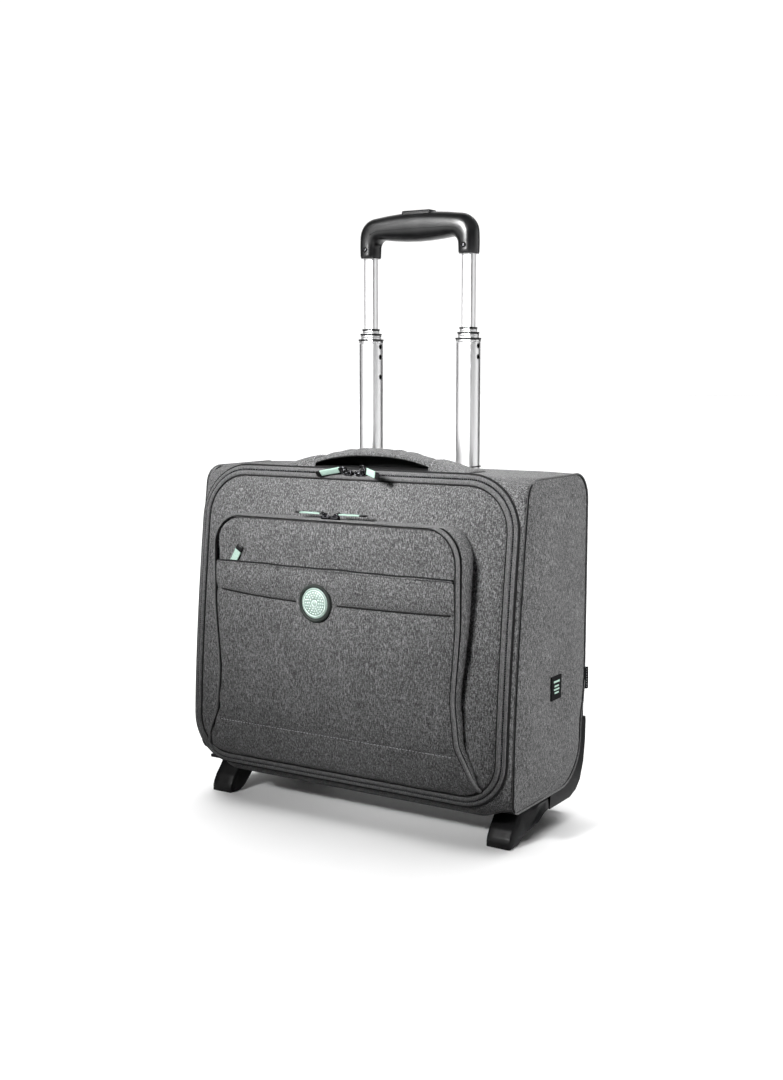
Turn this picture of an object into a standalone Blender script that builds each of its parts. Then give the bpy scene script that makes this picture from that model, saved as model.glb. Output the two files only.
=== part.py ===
"""Rolling laptop case: soft fabric case on two rear wheels and two front feet, with a
four-stage telescopic trolley handle, a zipped front lid and a zipped front pocket.

Units are metres, +Z is up, the front faces -Y. The origin is on the floor under the
middle of the bounding box. Sizes along Y are measured from the plane of the tubes."""

from math import cos, pi, radians, sin

import bmesh
import bpy
from mathutils import Matrix, Vector

# ---------------------------------------------------------------- driving dimensions
GAP = 0.0003                 # clearance kept between neighbouring pieces
TUBE_Y = 0.0807              # plane of the telescopic tubes
HALF_W = 0.2094              # outer face of a side panel
WRAP_X = 0.2055              # end of the top, back and bottom panels, inside the side panels
BACK_Y = TUBE_Y + 0.0145     # outer face of the back
TOP_Z = 0.3875               # outer face of the top
BOTTOM_Z = 0.0420            # outer face of the bottom
SKIN = 0.0022                # foam-backed fabric of the wrap
SIDE_SKIN = 0.0035           # foam-backed fabric of the sides
BACK_TOP_R = 0.030           # upper back corner, seen from the side
BACK_LOW_R = 0.055           # lower back corner, where the wheels sit

FRONT_LOW_Y = TUBE_Y - 0.168     # front of the lid near its bottom
FRONT_LEAN = 0.028               # how far the lid leans back over LEAN_RISE
LEAN_FROM_Z = 0.080
LEAN_RISE = 0.300
LID_HALF_W = 0.1990
LID_TOP_Z = 0.3833
LID_LOW_Z = 0.0535
LID_SKIN = 0.0030
RIM_HALF_W = 0.2055              # edge of the front frame round the lid
RIM_TOP_Z = 0.3893
RIM_LOW_Z = 0.0475

POCKET_Y = TUBE_Y - 0.1840       # outer face of the front pocket
POCKET_TOP_Z = 0.3365
POCKET_LOW_Z = 0.0640
POCKET_SKIN = 0.0025
SLASH_Z = 0.2835                 # mouth of the slash pocket on the front pocket
SLASH_RECESS = (0.0016, 0.0045)  # how far the pocket front lies behind the slash panel, low and high
SLASH_SKIN = 0.0012

TUBE_X = 0.0659                  # tubes left and right of the middle
TUBE_WALL = 0.0011
STAGE_SECTIONS = ((0.0235, 0.0205), (0.0203, 0.0173), (0.0170, 0.0140), (0.0138, 0.0108))
STAGE_TOPS = (0.5340, 0.5405, 0.5460, 0.6510)
STAGE_LOWS = (0.2400, 0.2510, 0.2610, 0.3500)
FERRULE_H = 0.0045               # black collar on top of a stage
FERRULE_STEP = 0.0008            # how far it stands out from its tube
GUIDE_SECTION = (0.0267, 0.0237)
GUIDE_LOW_Z, GUIDE_TOP_Z = 0.0945, 0.3570

WHEEL_R = 0.0340
WHEEL_X = 0.1525
WHEEL_Y = TUBE_Y - 0.0085
TYRE_HALF_W = 0.0120
AXLE_R = 0.0040
BEARING_R = 0.0110
RIM_R = 0.0256
WELL_R = WHEEL_R + 0.0025        # wheel arch
WELL_WALL = 0.0040
WELL_X = (0.1370, 0.1680)        # clear width of the wheel arch
WELL_EASE = 0.0005               # room round the arch where it passes the bottom panel
HOUSING_X = 0.1280               # inner end of a wheel housing
HOUSING_OUT_X = 0.2106
HOUSING_LOW_Z = 0.0275

FOOT_IN_X = 0.1711
FOOT_OUT_X = 0.1995
FOOT_TOP_Z = BOTTOM_Z - GAP

GRIP_HALF_D = 0.0130
GRIP_LOW_Z = 0.6279
GRIP_ROUND = 0.0062
BUTTON_HALF = (0.0190, 0.0080)
BUTTON_TOP_Z = 0.6795
BUTTON_LOW_Z = 0.6613
BUTTON_TRAVEL = 0.0040
YOKE_Z = (0.6570, 0.6610)
GRIP_SCREW_Z = 0.6370

HANDLE_Y = TUBE_Y - 0.0850       # middle of the carry handle
HANDLE_HALF_D = 0.0170
HANDLE_HALF_L = 0.1000
HANDLE_RISE = 0.0150

BOARD_Y = TUBE_Y - 0.0165        # stiff board in front of the tubes
DIVIDER_Y = TUBE_Y - 0.0480      # padded wall of the laptop compartment

BADGE_X, BADGE_Z = -0.0170, 0.2480
BADGE_R, BADGE_H = 0.0205, 0.0026
TAB = (0.0400, 0.0080, 0.0018)   # zip pull tab: length, width, thickness
SLIDER = (0.0100, 0.0060, 0.0030)
MAIN_ZIP_Z = 0.3866
MAIN_PULLS = (("right", 1.0, 0.0120, -27.0, 10.0), ("left", -1.0, -0.0040, 0.0, 10.5))
POCKET_ZIP_X = -0.0105
SLASH_SLIDER_X = -0.1340
SLASH_TAB_L = 0.0250
SLASH_TAB_TURN = 68.0            # degrees from level

LID_HINGE = (0.0, FRONT_LOW_Y + 0.0015, LID_LOW_Z)
POCKET_HINGE = (0.0, TUBE_Y - 0.1728, POCKET_LOW_Z)
ARC_STEPS = 6

CASE_NAME = "rolling_laptop_case"


# ---------------------------------------------------------------- scene and materials
for old in list(bpy.data.objects):
    bpy.data.objects.remove(old)

parts = bpy.data.collections.new(CASE_NAME)
cutters = bpy.data.collections.new(CASE_NAME + "_cutters")
bpy.context.scene.collection.children.link(parts)
bpy.context.scene.collection.children.link(cutters)


def material(name, color, roughness, metallic=0.0):
    made = bpy.data.materials.new(name)
    made.use_nodes = True
    shader = made.node_tree.nodes["Principled BSDF"]
    shader.inputs["Base Color"].default_value = (*color, 1.0)
    shader.inputs["Roughness"].default_value = roughness
    shader.inputs["Metallic"].default_value = metallic
    made.diffuse_color = (*color, 1.0)
    return made


FABRIC = material("grey_melange_fabric", (0.115, 0.117, 0.120), 0.90)
LINING = material("dark_lining", (0.030, 0.031, 0.034), 0.85)
BOARD = material("grey_board", (0.060, 0.060, 0.062), 0.70)
PLASTIC = material("black_plastic", (0.012, 0.012, 0.013), 0.38)
GRIP = material("black_grip_plastic", (0.016, 0.016, 0.017), 0.30)
RUBBER = material("black_rubber", (0.018, 0.018, 0.019), 0.75)
HUB = material("grey_hub_plastic", (0.060, 0.062, 0.065), 0.45)
ALUMINIUM = material("silver_aluminium", (0.70, 0.70, 0.72), 0.28, 1.0)
STEEL = material("bright_steel", (0.55, 0.55, 0.57), 0.30, 1.0)
DARK_METAL = material("dark_zip_metal", (0.045, 0.045, 0.050), 0.35, 1.0)
MINT = material("mint_enamel", (0.52, 0.74, 0.64), 0.45)


# ---------------------------------------------------------------- outlines
def fillet(corners, steps=ARC_STEPS):
    """Points of a closed polygon of (u, v, radius), with each corner rounded to its radius."""
    points = []
    for index, (u, v, radius) in enumerate(corners):
        here = Vector((u, v))
        back = Vector(corners[index - 1][:2]) - here
        ahead = Vector(corners[(index + 1) % len(corners)][:2]) - here
        half = back.angle(ahead) / 2
        if radius <= 0 or half > radians(89.5):
            points.append((u, v))
            continue
        reach = radius * cos(half) / sin(half)
        middle = here + (back.normalized() + ahead.normalized()).normalized() * (radius / sin(half))
        first = here + back.normalized() * reach - middle
        sweep = first.angle_signed(here + ahead.normalized() * reach - middle)
        for step in range(steps + 1):
            turned = first.copy()
            turned.rotate(Matrix.Rotation(-sweep * step / steps, 2))
            points.append(tuple(middle + turned))
    return points


def rectangle(half_w, low, high, r_low, r_high, rows=6):
    """Rounded rectangle about u = 0, with extra points up its sides so that it can lean."""
    side = [low + (high - low) * row / rows for row in range(1, rows)]
    right = [(half_w, low, r_low)] + [(half_w, v, 0) for v in side] + [(half_w, high, r_high)]
    left = [(-half_w, high, r_high)] + [(-half_w, v, 0) for v in reversed(side)] + [(-half_w, low, r_low)]
    return fillet(right + left)


def mirrored(right):
    """Closed outline from its right half, listed from the bottom up."""
    return right + [(-u, v, radius) for u, v, radius in reversed(right)]


def arc(u, v, radius, start, end, steps=8):
    turn = [radians(start + (end - start) * step / steps) for step in range(steps + 1)]
    return [(u + radius * cos(angle), v + radius * sin(angle)) for angle in turn]


def round_box(width, depth, radius, steps=3):
    u, v = width / 2, depth / 2
    return fillet([(-u, -v, radius), (u, -v, radius), (u, v, radius), (-u, v, radius)], steps)


# ---------------------------------------------------------------- shape of the front
def front_y(z):
    """Outer face of the lid, which leans back towards the top."""
    return FRONT_LOW_Y + FRONT_LEAN * max(0.0, (z - LEAN_FROM_Z) / LEAN_RISE) ** 1.5


def side_front_y(z):
    return front_y(z) + 0.0105


def frame_back_y(z):
    """Rear edge of the front frame, set back further under the case."""
    return front_y(z) + 0.0125 + 0.0100 * min(1.0, max(0.0, (0.075 - z) / 0.030))


def pocket_y(z):
    """Outer face of the front pocket, which runs in towards the lid at the bottom."""
    return POCKET_Y + 0.0065 * max(0.0, (0.125 - z) / 0.061) ** 1.6


def pocket_wall_y(z):
    """Outer face of the pocket's own front, behind the slash panel."""
    low, high = SLASH_RECESS
    return pocket_y(z) + low + (high - low) * min(1.0, max(0.0, (z - 0.090) / 0.080))


def pocket_split_y(z):
    """Where the pocket's zip parts its side wall."""
    return (front_y(z) + pocket_y(z)) / 2


# ---------------------------------------------------------------- building blocks
PLANES = {
    "XY": Matrix.Identity(4),
    "XZ": Matrix(((1, 0, 0, 0), (0, 0, -1, 0), (0, 1, 0, 0), (0, 0, 0, 1))),
    "YZ": Matrix(((0, 0, 1, 0), (1, 0, 0, 0), (0, 1, 0, 0), (0, 0, 0, 1))),
}


def add_object(name, mesh, finish, collection=parts):
    made = bpy.data.objects.new(name, mesh)
    collection.objects.link(made)
    if finish:
        mesh.materials.clear()
        mesh.materials.append(finish)
    return made


def baked(source, name, finish, collection=parts):
    """The evaluated object as one clean mesh in world space. The source is removed."""
    bpy.context.view_layer.update()
    graph = bpy.context.evaluated_depsgraph_get()
    mesh = bpy.data.meshes.new_from_object(source.evaluated_get(graph))
    mesh.transform(source.matrix_world)
    shape = bmesh.new()
    shape.from_mesh(mesh)
    bmesh.ops.remove_doubles(shape, verts=shape.verts, dist=1e-6)
    bmesh.ops.recalc_face_normals(shape, faces=shape.faces)
    shape.to_mesh(mesh)
    shape.free()
    bpy.data.objects.remove(source)
    mesh.name = name
    return add_object(name, mesh, finish, collection)


def prism(name, loops, plane, low, high, finish, collection=parts):
    """Flat outline with its holes, made thick from low to high along the plane's normal."""
    curve = bpy.data.curves.new(name, "CURVE")
    curve.dimensions = "2D"
    curve.fill_mode = "BOTH"
    curve.extrude = abs(high - low) / 2
    for loop in loops:
        spline = curve.splines.new("POLY")
        spline.points.add(len(loop) - 1)
        for point, (u, v) in zip(spline.points, loop):
            point.co = (u, v, 0.0, 1.0)
        spline.use_cyclic_u = True
    guide = bpy.data.objects.new(name, curve)
    parts.objects.link(guide)
    turn = PLANES[plane]
    guide.matrix_world = Matrix.Translation(turn.col[2].xyz * (low + high) / 2) @ turn
    return baked(guide, name, finish, collection)


def skin(name, rows, thickness, finish, closed=True, capped=False):
    """Loft through rows of points that run anticlockwise seen from outside, made thick inwards.
    capped closes the last row, whose two halves mirror each other, with bands from side to side."""
    shape = bmesh.new()
    rings = [[shape.verts.new(point) for point in row] for row in rows]
    count = len(rings[0])
    for one, two in zip(rings, rings[1:]):
        for index in range(count if closed else count - 1):
            after = (index + 1) % count
            shape.faces.new((one[index], one[after], two[after], two[index]))
    if capped:
        ring = rings[-1]
        for index in range(count // 2 - 1):
            shape.faces.new((ring[index], ring[index + 1], ring[-index - 2], ring[-index - 1]))
    mesh = bpy.data.meshes.new(name)
    shape.to_mesh(mesh)
    shape.free()
    made = add_object(name, mesh, finish)
    thick = made.modifiers.new("skin", "SOLIDIFY")
    thick.thickness = thickness
    thick.offset = -1.0
    thick.use_even_offset = True
    return made


def panel(name, outline, y_of_z, thickness, finish):
    """Upright panel whose outer face follows y_of_z."""
    return skin(name, [[(x, y_of_z(z), z) for x, z in outline]], thickness, finish, capped=True)


def wrap(name, profile, finish):
    """Panel that spans the case's width along a profile in (y, z)."""
    rows = [[(x, y, z) for y, z in profile] for x in (WRAP_X, -WRAP_X)]
    return skin(name, rows, SKIN, finish, closed=False)


def turned(name, profile, x, y, z, finish, steps=32, collection=parts):
    """Ring turned about an axis along X, from a closed profile of (radius, offset along X)."""
    shape = bmesh.new()
    ring = [shape.verts.new((radius, 0.0, offset)) for radius, offset in profile]
    for index, vertex in enumerate(ring):
        shape.edges.new((vertex, ring[(index + 1) % len(ring)]))
    mesh = bpy.data.meshes.new(name)
    shape.to_mesh(mesh)
    shape.free()
    source = bpy.data.objects.new(name, mesh)
    parts.objects.link(source)
    screw = source.modifiers.new("turn", "SCREW")
    screw.steps = screw.render_steps = steps
    screw.use_merge_vertices = True
    screw.merge_threshold = 1e-5
    source.matrix_world = Matrix.Translation((x, y, z)) @ Matrix.Rotation(pi / 2, 4, "Y")
    made = baked(source, name, finish, collection)
    move_origin(made, (x, y, z))
    made.data.set_sharp_from_angle(angle=radians(35))
    return made


def rod(name, radius, start, end, finish, sides=24, collection=parts):
    """Solid round bar from start to end."""
    start, end = Vector(start), Vector(end)
    shape = bmesh.new()
    bmesh.ops.create_cone(shape, cap_ends=True, segments=sides, radius1=radius, radius2=radius,
                          depth=(end - start).length)
    mesh = bpy.data.meshes.new(name)
    turn = (end - start).to_track_quat("Z", "Y").to_matrix().to_4x4()
    bmesh.ops.transform(shape, matrix=Matrix.Translation((start + end) / 2) @ turn, verts=shape.verts)
    shape.to_mesh(mesh)
    shape.free()
    made = add_object(name, mesh, finish, collection)
    made.data.set_sharp_from_angle(angle=radians(35))
    return made


def block(name, low, high, finish, collection=parts):
    low, high = Vector(low), Vector(high)
    shape = bmesh.new()
    bmesh.ops.create_cube(shape, size=1.0)
    size = Matrix.Diagonal((*(high - low), 1.0))
    bmesh.ops.transform(shape, matrix=Matrix.Translation((low + high) / 2) @ size, verts=shape.verts)
    mesh = bpy.data.meshes.new(name)
    shape.to_mesh(mesh)
    shape.free()
    return add_object(name, mesh, finish, collection)


def boolean(target, tool, operation="DIFFERENCE"):
    """Cuts or joins a tool, which stays as a hidden helper."""
    if tool.name not in cutters.objects:
        parts.objects.unlink(tool)
        cutters.objects.link(tool)
    tool.hide_render = True
    tool.display_type = "WIRE"
    step = target.modifiers.new(tool.name, "BOOLEAN")
    step.operation = operation
    step.object = tool


def bevel(target, width, segments=2, angle=50):
    edge = target.modifiers.new("edge", "BEVEL")
    edge.width = width
    edge.segments = segments
    edge.limit_method = "ANGLE"
    edge.angle_limit = radians(angle)


def trimmed(target, point, normal):
    """Cuts away what lies past a plane, and closes the cut."""
    shape = bmesh.new()
    shape.from_mesh(target.data)
    bmesh.ops.bisect_plane(shape, geom=shape.verts[:] + shape.edges[:] + shape.faces[:],
                           plane_co=point, plane_no=normal, clear_outer=True)
    open_edges = [edge for edge in shape.edges if edge.is_boundary]
    bmesh.ops.holes_fill(shape, edges=open_edges)
    bmesh.ops.recalc_face_normals(shape, faces=shape.faces)
    shape.to_mesh(target.data)
    shape.free()


def move_origin(target, point):
    """Puts the object's origin on a point, such as one on its joint's axis."""
    target.data.transform(Matrix.Translation(-Vector(point)))
    target.location = point


SIDES = (("right", 1.0), ("left", -1.0))


def span(side, inner, outer):
    """Ends along X, low to high, of a piece on one side of the case."""
    return sorted((side * inner, side * outer))


# ---------------------------------------------------------------- soft case
def side_outline():
    """Side panel in (y, z): leaning front, rounded corners, cut back round the wheel housing."""
    low, high = BOTTOM_Z + 0.0005, TOP_Z - 0.0015
    front = [(side_front_y(z), z, 0.0) for z in (0.12, 0.18, 0.25, 0.31)]
    corners = [(side_front_y(low) - 0.0005, low, 0.012)] + front + [
        (side_front_y(high), high, 0.022), (BACK_Y, high, BACK_TOP_R)]
    back = [(BACK_Y, 0.155), (BACK_Y - 0.0030, 0.1300), (TUBE_Y + 0.0062, 0.1126)]
    back += arc(TUBE_Y - 0.0433, low + 0.0485, 0.0485, 0, -90)
    return fillet(corners + [(y, z, 0.0) for y, z in back])


def side_panels():
    for label, side in SIDES:
        prism("side_panel_" + label, [side_outline()], "YZ", *span(side, HALF_W - SIDE_SKIN, HALF_W), FABRIC)


def wrap_panels():
    crown = frame_back_y(TOP_Z) + 0.0025
    back_arc = arc(BACK_Y - BACK_TOP_R, TOP_Z - BACK_TOP_R, BACK_TOP_R, 90, 0)
    low_arc = arc(BACK_Y - BACK_LOW_R, BOTTOM_Z + BACK_LOW_R, BACK_LOW_R, 0, -90)
    top = wrap("top_panel", [(crown, TOP_Z)] + back_arc + [(BACK_Y, 0.3450)], FABRIC)
    wrap("back_panel", [(BACK_Y, 0.3445), (BACK_Y, BOTTOM_Z + BACK_LOW_R + 0.012)], FABRIC)
    low = wrap("bottom_panel", [(BACK_Y, BOTTOM_Z + BACK_LOW_R + 0.0115)] + low_arc
               + [(frame_back_y(BOTTOM_Z) + 0.0025, BOTTOM_Z)], FABRIC)
    for label, side in SIDES:
        width, depth = (size + 0.0010 for size in STAGE_SECTIONS[0])
        hole = [(side * TUBE_X + u, TUBE_Y + v) for u, v in round_box(width, depth, 0.004)]
        boolean(top, prism("tube_hole_" + label, [hole], "XY", 0.30, 0.42, None))
        ease = WELL_WALL + WELL_EASE
        ends = span(side, WELL_X[0] - ease, WELL_X[1] + ease)
        boolean(low, prism("well_hole_" + label, [well_outline(WELL_R + ease, -0.02)], "YZ", *ends, None))


def front_frame():
    """Fabric frame round the lid: from the case's square edge forward to the round rim, then in."""
    rear = rectangle(RIM_HALF_W, BOTTOM_Z + 0.0002, TOP_Z - 0.0002, 0.006, 0.006)
    rim = rectangle(RIM_HALF_W, RIM_LOW_Z, RIM_TOP_Z, 0.044, 0.054)
    groove = 0.0020
    inner = rectangle(LID_HALF_W + groove, LID_LOW_Z - groove, LID_TOP_Z + groove, 0.0400, 0.0500)
    rows = [[(x, frame_back_y(z), z) for x, z in rear],
            [(x, front_y(z) + 0.0036, z) for x, z in rim],
            [(x, front_y(z) + 0.0008, z) for x, z in inner]]
    skin("front_frame", rows, SKIN, FABRIC)


def inner_boards():
    outline = rectangle(0.1900, 0.0860, 0.3480, 0.012, 0.020, rows=1)
    prism("back_board", [outline], "XZ", -BOARD_Y - 0.0020, -BOARD_Y, BOARD)
    flap = rectangle(0.1850, 0.0860, 0.3100, 0.010, 0.030, rows=1)
    prism("laptop_divider", [flap], "XZ", -DIVIDER_Y - 0.0060, -DIVIDER_Y, LINING)
    floor = rectangle(0.1250, TUBE_Y - 0.1400, TUBE_Y - 0.0430, 0.010, 0.010, rows=1)
    base = BOTTOM_Z + SKIN + GAP
    prism("base_board", [floor], "XY", base, base + 0.0030, BOARD)


def carry_handle():
    """Padded handle that arches over the top between its two sewn ends."""
    foot_z = TOP_Z + GAP
    reach = HANDLE_HALF_L
    columns = 14
    below, above = [], []
    for step in range(columns + 1):
        x = -reach + 2 * reach * step / columns
        lift = max(0.0, 1.0 - (abs(x) / 0.084) ** 2.4)
        below.append((x, foot_z + HANDLE_RISE * lift))
        above.append((x, foot_z + HANDLE_RISE * lift + 0.0035 + 0.0042 * lift ** 0.5))
    made = prism("carry_handle", [below + above[::-1]], "XZ",
                 -HANDLE_Y - HANDLE_HALF_D, -HANDLE_Y + HANDLE_HALF_D, FABRIC)
    bevel(made, 0.0014, 2)


# ---------------------------------------------------------------- base, wheels and feet
def well_outline(radius, low):
    """Arch over the wheel in (y, z), open downwards."""
    return arc(WHEEL_Y, WHEEL_R, radius, 180, 0, 16) + [(WHEEL_Y + radius, low), (WHEEL_Y - radius, low)]


def housing_outlines():
    """Outlines in (y, z) of the guard behind the wrap, and of its cheek beside the side panel."""
    t = TUBE_Y
    outer = [(t + 0.0150, 0.1120), (t + 0.0170, 0.1108), (t + 0.0177, 0.1060), (t + 0.0166, 0.0826),
             (t + 0.0128, 0.0600), (t + 0.0045, 0.0418), (t - 0.0060, 0.0326), (t - 0.0219, HOUSING_LOW_Z),
             (t - 0.0722, HOUSING_LOW_Z), (t - 0.0722, 0.0310), (t - 0.0705, BOTTOM_Z - GAP)]
    behind = arc(BACK_Y - BACK_LOW_R, BOTTOM_Z + BACK_LOW_R, BACK_LOW_R + GAP, -90, 0)
    beside = arc(t - 0.0433, BOTTOM_Z + 0.0490, 0.0485 + GAP, -90, 0)
    beside[0] = (beside[0][0], BOTTOM_Z - GAP)
    return outer + behind + [(BACK_Y + GAP, 0.1120)], outer + beside + [(t + 0.0068, 0.1120)]


def wheel_housings():
    behind, beside = housing_outlines()
    arch = well_outline(WELL_R + WELL_WALL, HOUSING_LOW_Z + 0.0002)
    arch = [(min(y, TUBE_Y + 0.0080), z) for y, z in arch]
    for label, side in SIDES:
        name = "wheel_housing_" + label
        sides = span(side, WELL_X[0] - WELL_WALL, WELL_X[1] + WELL_WALL)
        guard = prism(name, [behind], "YZ", *span(side, HOUSING_X, WRAP_X + 0.0012), PLASTIC)
        cheek = prism(name + "_cheek", [beside], "YZ", *span(side, HALF_W - SIDE_SKIN, HOUSING_OUT_X), None)
        well = prism(name + "_arch", [arch], "YZ", *sides, None)
        clear = prism(name + "_clear", [well_outline(WELL_R, -0.02)], "YZ", *span(side, *WELL_X), None)
        ends = [(side * x, WHEEL_Y, WHEEL_R) for x in (WELL_X[0] - 0.02, WELL_X[1] + WELL_WALL + 0.0006)]
        bore = rod(name + "_bore", AXLE_R + 0.0001, *ends, None)
        boolean(guard, cheek, "UNION")
        boolean(guard, well, "UNION")
        boolean(guard, clear)
        boolean(guard, bore)


def wheels():
    for label, side in SIDES:
        at = (side * WHEEL_X, WHEEL_Y, WHEEL_R)
        tread = TYRE_HALF_W
        turned("tyre_" + label, [
            (RIM_R + GAP, -tread + 0.002), (WHEEL_R - 0.0040, -tread), (WHEEL_R - 0.0008, -tread + 0.004),
            (WHEEL_R, -tread + 0.008), (WHEEL_R, tread - 0.008), (WHEEL_R - 0.0008, tread - 0.004),
            (WHEEL_R - 0.0040, tread), (RIM_R + GAP, tread - 0.002)], *at, RUBBER, 40)
        turned("wheel_hub_" + label, [
            (BEARING_R + GAP, -0.0080), (RIM_R - 0.007, -0.0060), (RIM_R, -0.0095),
            (RIM_R, 0.0095), (RIM_R - 0.007, 0.0060), (BEARING_R + GAP, 0.0080)], *at, HUB)
        turned("bearing_" + label, [
            (AXLE_R + 0.0001, -0.0035), (BEARING_R, -0.0035), (BEARING_R, 0.0035),
            (AXLE_R + 0.0001, 0.0035)], *at, STEEL, 24)
        ends = [(side * x, WHEEL_Y, WHEEL_R) for x in (WELL_X[0] - WELL_WALL, WELL_X[1] + WELL_WALL)]
        rod("axle_" + label, AXLE_R, *ends, STEEL)


def feet():
    """Front foot with a strut that runs back along the case's edge to the wheel housing."""
    t = TUBE_Y
    outline = [(t - 0.1430, 0.0), (t - 0.1262, 0.0), (t - 0.1215, 0.0012), (t - 0.1150, 0.0052),
               (t - 0.1085, 0.0108), (t - 0.1010, 0.0172), (t - 0.0930, 0.0228), (t - 0.0850, 0.0262),
               (t - 0.0740, 0.0276), (t - 0.0740, 0.0320), (t - 0.0760, FOOT_TOP_Z),
               (t - 0.1190, FOOT_TOP_Z), (t - 0.1230, 0.0350), (t - 0.1300, 0.0260),
               (t - 0.1365, 0.0190), (t - 0.1415, 0.0110), (t - 0.1432, 0.0060)]
    for label, side in SIDES:
        ends = span(side, FOOT_IN_X, HOUSING_OUT_X)
        made = prism("foot_" + label, [outline], "YZ", *ends, PLASTIC)
        for vertex in made.data.vertices:
            if abs(vertex.co.x) > 0.2:
                back = min(1.0, max(0.0, (vertex.co.y - t + 0.126) / 0.030))
                flare = back * min(1.0, vertex.co.z / 0.020)
                vertex.co.x = side * (FOOT_OUT_X + (HOUSING_OUT_X - FOOT_OUT_X) * flare)
        bevel(made, 0.0015, 2, 40)


# ---------------------------------------------------------------- telescopic handle
def tube(name, side, section, low, high, finish, wall=TUBE_WALL, radius=0.0040):
    width, depth = section
    loops = [round_box(width, depth, radius),
             round_box(width - 2 * wall, depth - 2 * wall, max(radius - wall, 0.0008))]
    placed = [[(side * TUBE_X + u, TUBE_Y + v) for u, v in loop] for loop in loops]
    made = prism(name, placed, "XY", low, high, finish)
    move_origin(made, (side * TUBE_X, TUBE_Y, low))
    return made


def telescope():
    for label, side in SIDES:
        tube("guide_tube_" + label, side, GUIDE_SECTION, GUIDE_LOW_Z, GUIDE_TOP_Z, STEEL, 0.0009)
        for index, section in enumerate(STAGE_SECTIONS):
            stage = "stage{}_".format(index + 1)
            top = STAGE_TOPS[index]
            last = index == len(STAGE_SECTIONS) - 1
            tube_top = top if last else top - FERRULE_H - GAP
            tube(stage + "tube_" + label, side, section, STAGE_LOWS[index], tube_top, ALUMINIUM,
                 TUBE_WALL, 0.0040 - 0.0006 * index)
            if not last:
                inner = STAGE_SECTIONS[index + 1]
                outer = [size + 2 * FERRULE_STEP for size in section]
                wall = (outer[0] - inner[0]) / 2 - GAP
                tube(stage + "ferrule_" + label, side, outer, top - FERRULE_H, top, PLASTIC, wall, 0.0042)
    bar = rectangle(TUBE_X + 0.018, TUBE_Y - 0.0118, TUBE_Y + 0.0102, 0.003, 0.003, rows=1)
    prism("tube_base_bracket", [bar], "XY", GUIDE_LOW_Z - 0.0080, GUIDE_LOW_Z - GAP, PLASTIC)


def grip_outline():
    right = [(0.0556, GRIP_LOW_Z - 0.010, 0.0), (0.0762, GRIP_LOW_Z - 0.010, 0.0),
             (0.0770, 0.6712, 0.021), (0.0, 0.6782, 0.30)]
    left = [(-0.0770, 0.6712, 0.021), (-0.0762, GRIP_LOW_Z - 0.010, 0.0),
            (-0.0556, GRIP_LOW_Z - 0.010, 0.0)]
    under = [(-0.0545, 0.6495, 0.009), (0.0, 0.6440, 0.20), (0.0545, 0.6495, 0.009)]
    return fillet(right + left + under, 5)


def grip_cutters():
    """Hollows of the grip: tube sockets, the run of the yoke, the well of the button."""
    t = TUBE_Y
    made = []
    for label, side in SIDES:
        width, depth = (size + 0.0006 for size in STAGE_SECTIONS[3])
        socket = [(side * TUBE_X + u, t + v) for u, v in round_box(width, depth, 0.0022)]
        made.append(prism("socket_" + label, [socket], "XY", 0.60, STAGE_TOPS[3] + GAP, None))
    made.append(block("yoke_run", (-0.0690, t - 0.0045, STAGE_TOPS[3] - 0.0005),
                      (0.0690, t + 0.0045, 0.6626), None))
    u, v = BUTTON_HALF
    made.append(block("button_well", (-u - GAP, t - v - GAP, BUTTON_LOW_Z - BUTTON_TRAVEL - GAP),
                      (u + GAP, t + v + GAP, 0.70), None))
    for label, side in SIDES:
        front = t - GRIP_HALF_D
        at = side * TUBE_X
        made.append(rod("screw_head_hole_" + label, 0.0029, (at, front - 0.004, GRIP_SCREW_Z),
                        (at, front + 0.0022, GRIP_SCREW_Z), None, 16))
        made.append(rod("screw_hole_" + label, 0.0017, (at, front - 0.002, GRIP_SCREW_Z),
                        (at, t - 0.003, GRIP_SCREW_Z), None, 12))
    return made


def grip():
    t = TUBE_Y
    hollows = grip_cutters()
    whole = prism("grip_whole", [grip_outline()], "XZ", -t - GRIP_HALF_D, -t + GRIP_HALF_D, GRIP)
    bevel(whole, GRIP_ROUND, 3, 60)
    whole = baked(whole, "grip_whole", GRIP)
    trimmed(whole, (0, 0, GRIP_LOW_Z), (0, 0, -1))
    for name, side in (("grip_front_shell", 1.0), ("grip_rear_shell", -1.0)):
        half = add_object(name, whole.data.copy(), GRIP)
        trimmed(half, (0, t - side * GAP / 2, 0), (0, side, 0))
        for hollow in hollows[:4] + (hollows[4:] if side > 0 else []):
            boolean(half, hollow)
        half.data.set_sharp_from_angle(angle=radians(40))
    bpy.data.objects.remove(whole)


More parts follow.
